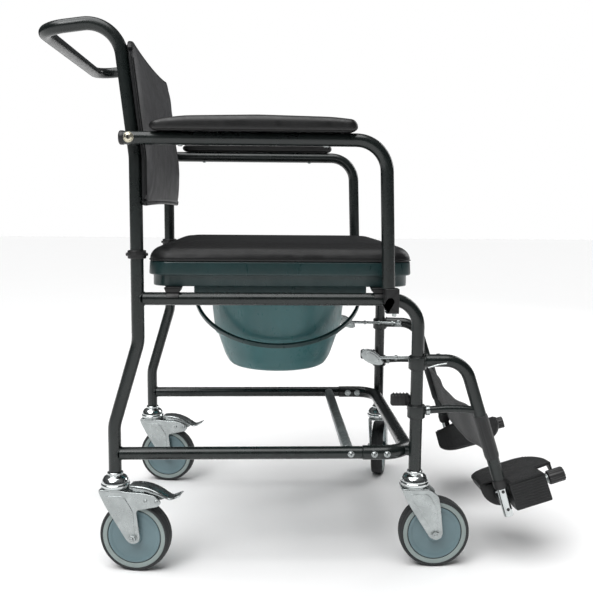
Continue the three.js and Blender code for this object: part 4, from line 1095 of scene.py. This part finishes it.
def deck_ribs(outline, top):
    """The raised bars along the deck, cut to the deck's own outline."""
    verts, faces = [], []
    for k in range(30):
        y = -0.0430 + 0.0056 * k
        if y > 0.108:
            break
        x0, x1 = width_at(outline, y)
        bar_verts, bar_faces = slab(block(x0 + 0.0045, x1 - 0.0045, y - 0.0017, y + 0.0017, 0.0013), top - 0.0018,
                                    top, 0.0006)
        faces += [tuple(i + len(verts) for i in f) for f in bar_faces]
        verts += bar_verts
    return verts, faces


def footplate(name, hinge):
    body = f"footplate_{name}"
    top, low = PLATE_TOP, PLATE_LOW
    outline = deck_outline()
    soft = soften(outline, 0.0016, closed=True, steps=2)
    flat_plate(f"footplate_deck_{name}", soft, top - 0.0056, top - 0.0012, "footplate_plastic", body,
               f"footplate_{name}", place=hinge, edge=0.0014)
    verts, faces = deck_ribs(outline, top)
    add_mesh(f"footplate_ribs_{name}", verts, faces, "footplate_plastic", body, place=hinge)
    curve = [(PLATE_REAR + 0.036 * (1 - math.cos(a)), low + 0.038 * (1 - math.sin(a)))
             for a in (math.radians(90 * k / 14) for k in range(15))]
    cheek = [(PLATE_REAR, top - 0.0015), *curve, (0.016, low), (0.016, top - 0.0015)]
    side_plate(f"footplate_cheek_{name}", soften(cheek, 0.002, closed=True, steps=2), NOTCH, 0.0108,
               "footplate_plastic", body, place=hinge, edge=0.0012)
    skirt = soften([(0.009, top - 0.0015), (0.076, top - 0.0015), (0.070, 0.014), (0.009, 0.011)], 0.004,
                   closed=True)
    end_plate(f"footplate_skirt_{name}", skirt, PLATE_REAR, -0.0244, "footplate_plastic", body, place=hinge,
              edge=0.0012)
    toe = soften([(0.0145, top - 0.0015), (0.042, top - 0.0015), (0.037, 0.010), (0.030, 0.005), (0.0145, 0.005)],
                 0.005, closed=True)
    end_plate(f"footplate_toe_{name}", toe, 0.1062, PLATE_FRONT, "footplate_plastic", body, place=hinge,
              edge=0.0012)
    wall = block(BLOCK_REAR, BLOCK_FRONT, low, top - 0.0012, 0.003)
    side_plate(f"footplate_side_{name}", wall, PLATE_OUTER, -0.0432, "footplate_plastic", body, place=hinge,
               edge=0.0014)
    for k in range(9):
        z = low + 0.0058 + 0.0048 * k
        groove = block(0.018, 0.076, z - 0.0009, z + 0.0009, 0.0006)
        side_plate(f"footplate_side_rib_{name}_{k}", groove, -0.0488, -0.0470, "footplate_plastic", body,
                   place=hinge, edge=0.0005)
    for k, (x0, x1) in enumerate(((BLOCK_REAR, 0.0198), (0.0742, BLOCK_FRONT))):
        end = soften([(-0.0472, top - 0.0014), (0.0090, top - 0.0014), (0.0090, -0.010), (-0.002, -0.022),
                      (-0.012, low), (-0.0472, low)], 0.004, closed=True)
        end_plate(f"footplate_end_{name}_{k}", end, x0, x1, "footplate_plastic", body, place=hinge, edge=0.0012)
    turned(f"footplate_tunnel_{name}", ring_profile(0.0061, 0.0085, 0, 0.060, 0.0010), "footplate_plastic", body,
           place=hinge @ facing((0.016, 0, 0), (1, 0, 0)), closed=True)


def footrests():
    rod_x, rod_z = on_slope(ROD_S)
    for side, name in SIDES:
        inward = -side
        place = CHAIR @ Matrix.Translation((FRONT_LEG_X, side * TRACK, 0)) \
            @ Matrix.Rotation(math.radians(-side * TOE_IN[name]), 4, "Z")
        lower = place @ Matrix.Translation((rod_x, 0, rod_z)) @ Matrix.Rotation(-RAKE, 4, "Y")
        hinge = lower @ Matrix.Translation((0, inward * ROD_IN, 0)) \
            @ Matrix.Rotation(math.radians(-inward * PLATE_TILT), 4, "X") @ Matrix.Diagonal((1, inward, 1, 1))
        hanger(name, inward, place)
        release_lever(name, inward, place)
        extension(name, inward, lower)
        footplate(name, hinge)
        calf_strap(side, name, inward, place)


# ---------------------------------------------------------------- soft goods
def points_of(mesh):
    flat = np.empty(len(mesh.vertices) * 3)
    mesh.vertices.foreach_get("co", flat)
    return flat.reshape(-1, 3)


def even_mesh(obj):
    """Replaces an object's mesh by one of even 5 mm squares, for cloth."""
    remesh = obj.modifiers.new("remesh", "REMESH")
    remesh.mode = "VOXEL"
    remesh.voxel_size = 0.005
    graph = bpy.context.evaluated_depsgraph_get()
    obj.data = bpy.data.meshes.new_from_object(obj.evaluated_get(graph))
    obj.modifiers.clear()


def blow_up(obj, rest, held, pressure, frames):
    """Runs the cloth and returns where each point ends; the points that held() accepts stay."""
    scene = bpy.context.scene
    group = obj.vertex_groups.new(name="held")
    group.add([i for i, p in enumerate(rest) if held(p)], 1.0, "REPLACE")
    cloth = obj.modifiers.new("cloth", "CLOTH")
    cloth.point_cache.frame_start, cloth.point_cache.frame_end = 1, frames
    settings = cloth.settings
    settings.quality = 5
    settings.mass = 0.25
    settings.tension_stiffness = settings.compression_stiffness = 22
    settings.shear_stiffness = 8
    settings.bending_stiffness = 1.2
    settings.use_pressure = True
    settings.uniform_pressure_force = pressure
    settings.effector_weights.gravity = 0
    settings.vertex_group_mass = "held"
    cloth.collision_settings.use_collision = False
    for number in range(1, frames + 1):
        scene.frame_set(number)
    moved = points_of(obj.evaluated_get(bpy.context.evaluated_depsgraph_get()).data)
    obj.modifiers.clear()
    obj.vertex_groups.clear()
    scene.frame_set(1)
    return moved


def inflate(obj, held, pressure, cap, frames=18):
    """Blows a closed soft mesh up with cloth; no point moves further than cap."""
    even_mesh(obj)
    mesh = obj.data
    rest = points_of(mesh)
    step = blow_up(obj, rest, held, pressure, frames) - rest
    length = np.linalg.norm(step, axis=1, keepdims=True)
    step *= np.minimum(1.0, cap / np.maximum(length, 1e-9))
    mesh.vertices.foreach_set("co", (rest + step).ravel())
    subdivide = obj.modifiers.new("subdivide", "SUBSURF")
    subdivide.levels = subdivide.render_levels = 1
    mesh.shade_smooth()
    return obj


def shape_points(obj, change):
    """Moves each vertex by what change() gives for it, for puckers along seams and drag lines."""
    for vertex in obj.data.vertices:
        vertex.co += Vector(change(vertex.co))
    obj.data.update()


CUSHION_LOW = pad_low.z


def seat_cushion():
    """Vinyl cushion: flat where it lies on the base, with a crowned top that falls away over its last 50 mm."""
    profile = [(0.0030, 0.0), (0.0008, 0.0012), (0.0, 0.0040), (0.0005, 0.0080), (0.0022, 0.0125),
               (0.0060, 0.0180), (0.0125, 0.0228), (0.0220, 0.0261), (0.0370, 0.0284), (0.0600, 0.0296),
               (0.1000, 0.0302)]
    rings = [seat_ring(0.05, CUSHION_LOW)] + [seat_ring(d, CUSHION_LOW + h) for d, h in profile]
    verts = [p for ring in rings for p in ring]
    size = len(rings[0])
    loops = [list(range(i * size, (i + 1) * size)) for i in range(len(rings))]
    faces = bridge(loops) + [tuple(reversed(loops[0])), tuple(loops[-1])]
    obj = add_mesh("seat_cushion_cover", verts, faces, "seat_vinyl", None, "seat_pad")
    inflate(obj, lambda p: p[2] < CUSHION_LOW + 0.0030, 2.4, 0.0016)

    def puckers(p):
        near = max(0.0, 1 - abs(p.z - CUSHION_LOW - 0.005) / 0.009)
        edge = min(p.x - SEAT_REAR, SEAT_FRONT - p.x, SEAT_HALF - abs(p.y - MID_Y))
        if edge > 0.022 or near <= 0:
            return 0, 0, 0
        wave = noise.noise(Vector((p.x * 55, p.y * 55, 0))) * 0.0011 * near
        out = Vector((p.x - (SEAT_REAR + SEAT_FRONT) / 2, p.y - MID_Y, 0)).normalized()
        return tuple(out * (wave - 0.0004 * near))

    shape_points(obj, puckers)
    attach(obj, "seat_cushion")
    verts, faces = sweep([Vector((p.x, p.y, CUSHION_LOW + 0.0013)) for p in seat_ring(0.0014, 0)],
                         circle(0.0014, 12), loop=True)
    add_mesh("seat_cushion_welt", verts, faces, "seat_vinyl", "seat_cushion")


def post_axis_x(z):
    lean = (HANDLE_TOP[0] - POST_X) / (HANDLE_TOP[1] - BACK_KINK_Z)
    return POST_X + max(0.0, z - BACK_KINK_Z) * lean


BACK_LOW, BACK_HIGH = 0.634, 0.900
BACK_HALF = 0.241


def hem_height(y, top):
    """The back panel's top edge dips between the posts, and its bottom edge rises a little."""
    middle = max(0.0, 1 - (y / BACK_HALF) ** 2)
    radius = 0.026 if top else 0.012
    past = min(radius, max(0.0, abs(y) - BACK_HALF + radius))
    corner = radius - math.sqrt(radius ** 2 - past ** 2)
    return BACK_HIGH - 0.010 * middle ** 0.8 - corner if top else BACK_LOW + 0.003 * middle + corner


def back_depth(y, from_hem, front):
    """How far ahead of the posts' axis a layer lies: fuller away from its edges, and thin over the posts."""
    ease = math.sin(min(1.0, from_hem / 0.035) * math.pi / 2)
    if front:
        edge = math.sin(min(1.0, (BACK_HALF - abs(y)) / 0.030) * math.pi / 2)
        return 0.0170 + 0.0050 * ease * edge + 0.0030 * edge
    behind = min(1.0, max(0.0, (0.217 - abs(y)) / 0.012))
    return 0.0125 + (-0.0060 - 0.0030 * ease - 0.0125) * behind


def back_held(p):
    """The parts of the panel that its frame holds: its side edges, its wings' backs and its hems."""
    across = abs(p[1] - MID_Y)
    on_wing = p[0] < post_axis_x(p[2]) + 0.0135 and across > 0.20
    return across > 0.236 or on_wing or p[2] < BACK_LOW + 0.006 or p[2] > BACK_HIGH - 0.014


def back_panel():
    """Padded vinyl panel: between the posts behind, across the front of both of them ahead."""
    across, up = 45, 29
    layers = []
    for front in (True, False):
        layer = []
        for i in range(across):
            y = -BACK_HALF + 2 * BACK_HALF * i / (across - 1)
            for k in range(up):
                low, high = hem_height(y, False), hem_height(y, True)
                z = low + (high - low) * k / (up - 1)
                depth = back_depth(y, min(z - low, high - z), front)
                layer.append(Vector((post_axis_x(z) + depth, y, z)))
        layers.append(layer)
    verts = layers[0] + layers[1]
    offset = len(layers[0])
    faces = []
    for i in range(across - 1):
        for k in range(up - 1):
            a, b, c, d = i * up + k, (i + 1) * up + k, (i + 1) * up + k + 1, i * up + k + 1
            faces += [(a, b, c, d), (d + offset, c + offset, b + offset, a + offset)]
    for i in range(across - 1):
        for k in (0, up - 1):
            a, b = i * up + k, (i + 1) * up + k
            faces.append((a, b, b + offset, a + offset))
    for k in range(up - 1):
        for i in (0, across - 1):
            a, b = i * up + k, i * up + k + 1
            faces.append((a, b, b + offset, a + offset))
    obj = add_mesh("back_panel", verts, faces, "back_vinyl", None, "back_upholstery")
    inflate(obj, back_held, 2.4, 0.0040)

    def drag_lines(p):
        """Shallow folds that run from the posts towards the middle, where the vinyl is pulled tight."""
        y = p.y - MID_Y
        side = max(0.0, (abs(y) - 0.10) / 0.12)
        fold = noise.noise(Vector((y * 9, p.z * 46, 3.0))) * 0.0014 * side
        dimple = noise.noise(Vector((y * 14, p.z * 12, 8.0))) * 0.0012
        return (fold + dimple) if p.x > post_axis_x(p.z) else 0.0, 0, 0

    shape_points(obj, drag_lines)
    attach(obj, "frame")


def back_trim():
    """The black edge band at each side, the piping at the front seam and the bound hems."""
    for side, name in SIDES:
        heights = [BACK_LOW + 0.010 + (BACK_HIGH - 0.034 - BACK_LOW) * k / 48 for k in range(49)]
        path = [Vector((post_axis_x(z) + 0.0146, side * 0.2388, z)) for z in heights]
        scales = [1 + 0.03 * noise.noise(Vector((z * 70, side * 5, 1))) for z in heights]
        scales[0] = scales[-1] = 0.86
        band = soften([(-0.0030, -0.0034), (0.0030, -0.0034), (0.0030, 0.0034), (-0.0030, 0.0034)], 0.0024,
                      closed=True)
        verts, faces = sweep(path, [(p.x, p.y) for p in band], scales, upright=(1, 0, 0))
        edge = add_mesh(f"back_edge_{name}", verts, faces, "back_trim", "frame", sharp=75)
        seam = [Vector((post_axis_x(z) + 0.0184, side * 0.2372, z)) for z in heights[1:-1]]
        tube(f"back_piping_{name}", seam, 0.0016, "back_trim", "frame", sides=14)
    for top, label in ((True, "top"), (False, "bottom")):
        path = []
        for k in range(61):
            y = (BACK_HALF - 0.003) * math.sin(math.pi * (k / 60 - 0.5))
            z = hem_height(y, top)
            path.append(Vector((post_axis_x(z) + 0.0155, y, z + (-0.001 if top else 0.001))))
        strip = soften([(-0.0040, -0.0044), (0.0040, -0.0044), (0.0040, 0.0044), (-0.0040, 0.0044)], 0.0030,
                       closed=True)
        verts, faces = sweep(path, [(p.x, p.y) for p in strip], upright=(0, 0, 1))
        add_mesh(f"back_hem_{label}", verts, faces, "back_trim", "frame", sharp=70)


STRAP_TOP, STRAP_BOTTOM = 0.020, 0.100      # down the hanger's slope from the sight point
STRAP_HALF_THICK = 0.0016
STRAP_SAG = 0.015


def strap_seams():
    """Each stitch as its start and its run, in the band's own measures (see on_band)."""
    down = [(Vector((u, s, 0)), Vector((0, 0.0034, 0))) for u in (0.10, 0.135)
            for s in np.arange(0.028, 0.092, 0.0055)]
    along = [(Vector((u, s, 0)), Vector((0.016, 0, 0))) for s in (0.0265, 0.0935)
             for u in np.arange(0.14, 0.96, 0.026)]
    return down + along


def calf_strap(side, name, inward, place):
    """Half of the calf strap: a band sewn round the footrest's tube, sagging a little towards the middle."""
    to_row = place.copy()
    across, along = 14, 34
    verts, faces = [], []
    slope = Vector((math.sin(RAKE), 0, -math.cos(RAKE)))
    normal = Vector((math.cos(RAKE), 0, math.sin(RAKE)))

    def on_band(u, s, lift):
        """A point at u from the tube (0) to the chair's middle (1), s down the slope, lift off the band."""
        x, z = on_slope(s)
        start = to_row @ Vector((x, inward * 0.006, z))
        end = Vector((FRONT_LEG_X + x, MID_Y + side * 0.0003, z))
        sag = -0.007 * math.sin(math.pi * u / 2) ** 2 - 0.0022 * math.sin(u * 9 + s * 20) * math.sin(math.pi * u)
        droop = -STRAP_SAG * math.sin(math.pi * u / 2) ** 1.5
        return start.lerp(end, u) + normal * (sag + lift) + slope * -droop

    edge = [(STRAP_TOP + (STRAP_BOTTOM - STRAP_TOP) * k / across) for k in range(across + 1)]
    for i in range(along + 1):
        u = i / along
        hem = [1.35 if k in (0, 1, across - 1, across) else 1.0 for k in range(across + 1)]
        verts += [on_band(u, s, STRAP_HALF_THICK * h) for s, h in zip(edge, hem)]
        verts += [on_band(u, s, -STRAP_HALF_THICK * h) for s, h in reversed(list(zip(edge, hem)))]
    ring = 2 * (across + 1)
    loops = [list(range(i * ring, (i + 1) * ring)) for i in range(along + 1)]
    faces += bridge(loops) + [tuple(reversed(loops[0])), tuple(loops[-1])]
    path = [to_row @ Vector((*on_slope(s)[:1], 0, on_slope(s)[1])) for s in edge]
    sleeve_verts, sleeve_faces = sweep(path, circle(0.0128, 30), [0.93, *([1.0] * (across - 1)), 0.93])
    faces += [tuple(i + len(verts) for i in f) for f in sleeve_faces]
    verts += sleeve_verts
    first_stitch = len(faces)
    for start, run in strap_seams():
        for face in (1, -1):
            lift = face * (STRAP_HALF_THICK * 1.35 + 0.0002)
            ends = [on_band(start.x + run.x * t, start.y + run.y * t, lift) for t in (0, 0.5, 1)]
            stitch_verts, stitch_faces = sweep(ends, circle(0.0005, 6), [0.5, 1, 0.5])
            faces += [tuple(i + len(verts) for i in f) for f in stitch_faces]
            verts += stitch_verts
    stitches = set(range(first_stitch, len(faces)))
    obj = add_mesh(f"calf_band_{name}", verts, faces, "webbing", None, f"calf_strap_{name}",
                   place=Matrix.Identity(4), sharp=60)
    obj.data.materials.append(MATERIALS["thread"])
    for polygon in obj.data.polygons:
        if polygon.index in stitches:
            polygon.material_index = 1
    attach(obj, f"footrest_{name}")
    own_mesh(obj)


# ---------------------------------------------------------------- floor and light
def make_stage():
    mesh = bpy.data.meshes.new("studio_floor")
    size = 14
    mesh.from_pydata([(-size, -size, 0), (size, -size, 0), (size, size, 0), (-size, size, 0)], [], [(0, 1, 2, 3)])
    floor = bpy.data.objects.new("studio_floor", mesh)
    paper = Nodes("studio_paper", 0.9)
    paper.set_colour(paper.vary_colour(paper.noise(3), (0.895, 0.895, 0.895), (0.905, 0.905, 0.905)))
    mesh.materials.append(paper.material)
    bpy.context.scene.collection.objects.link(floor)


def area_light(name, place, target, size, power, shape="RECTANGLE"):
    data = bpy.data.lights.new(name, "AREA")
    data.shape = shape
    data.size, data.size_y = size
    data.energy = power
    light = bpy.data.objects.new(name, data)
    light.location = place
    light.rotation_euler = (Vector(target) - Vector(place)).to_track_quat("-Z", "Y").to_euler()
    bpy.context.scene.collection.objects.link(light)


def make_light():
    """A white sweep that the camera sees, and a softer, darker room for the reflections."""
    scene = bpy.context.scene
    scene.view_settings.view_transform = "Standard"
    world = bpy.data.worlds.new("studio")
    scene.world = world
    world.use_nodes = True
    tree = world.node_tree
    tree.nodes.clear()
    output = tree.nodes.new("ShaderNodeOutputWorld")
    seen = tree.nodes.new("ShaderNodeBackground")
    seen.inputs["Strength"].default_value = 1.0
    seen.inputs["Color"].default_value = (1, 1, 1, 1)
    room = tree.nodes.new("ShaderNodeBackground")
    room.inputs["Strength"].default_value = 0.22
    place = tree.nodes.new("ShaderNodeTexCoord")
    split = tree.nodes.new("ShaderNodeSeparateXYZ")
    tree.links.new(place.outputs["Generated"], split.inputs["Vector"])
    ramp = tree.nodes.new("ShaderNodeValToRGB")
    ramp.color_ramp.elements[0].position = 0.35
    ramp.color_ramp.elements[0].color = (0.30, 0.31, 0.32, 1)
    ramp.color_ramp.elements[1].position = 0.95
    ramp.color_ramp.elements[1].color = (1, 1, 1, 1)
    tree.links.new(split.outputs["Z"], ramp.inputs["Fac"])
    tree.links.new(ramp.outputs["Color"], room.inputs["Color"])
    rays = tree.nodes.new("ShaderNodeLightPath")
    mix = tree.nodes.new("ShaderNodeMixShader")
    tree.links.new(rays.outputs["Is Camera Ray"], mix.inputs["Fac"])
    tree.links.new(room.outputs["Background"], mix.inputs[1])
    tree.links.new(seen.outputs["Background"], mix.inputs[2])
    tree.links.new(mix.outputs["Shader"], output.inputs["Surface"])
    sun = bpy.data.lights.new("sky_light", "SUN")
    sun.energy = 3.15
    sun.angle = math.radians(65)
    lamp = bpy.data.objects.new("sky_light", sun)
    lamp.rotation_euler = (Vector((0, 0, 0)) - Vector((-0.5, -0.55, 2.2))).to_track_quat("-Z", "Y").to_euler()
    scene.collection.objects.link(lamp)
    area_light("key", (-1.6, -2.4, 2.8), (0, 0, 0.5), (1.2, 1.2), 34)
    area_light("rim", (2.2, 1.8, 1.8), (0, 0, 0.5), (1.0, 1.6), 20)


# ---------------------------------------------------------------- the chair
rear_legs()
side_rails()
floor_tubes()
back_tube()
arms()
seat_base()
seat_clips()
pail_guides()
pail()
bail()
castors()
footrests()
seat_cushion()
back_panel()
back_trim()
make_stage()
make_light()
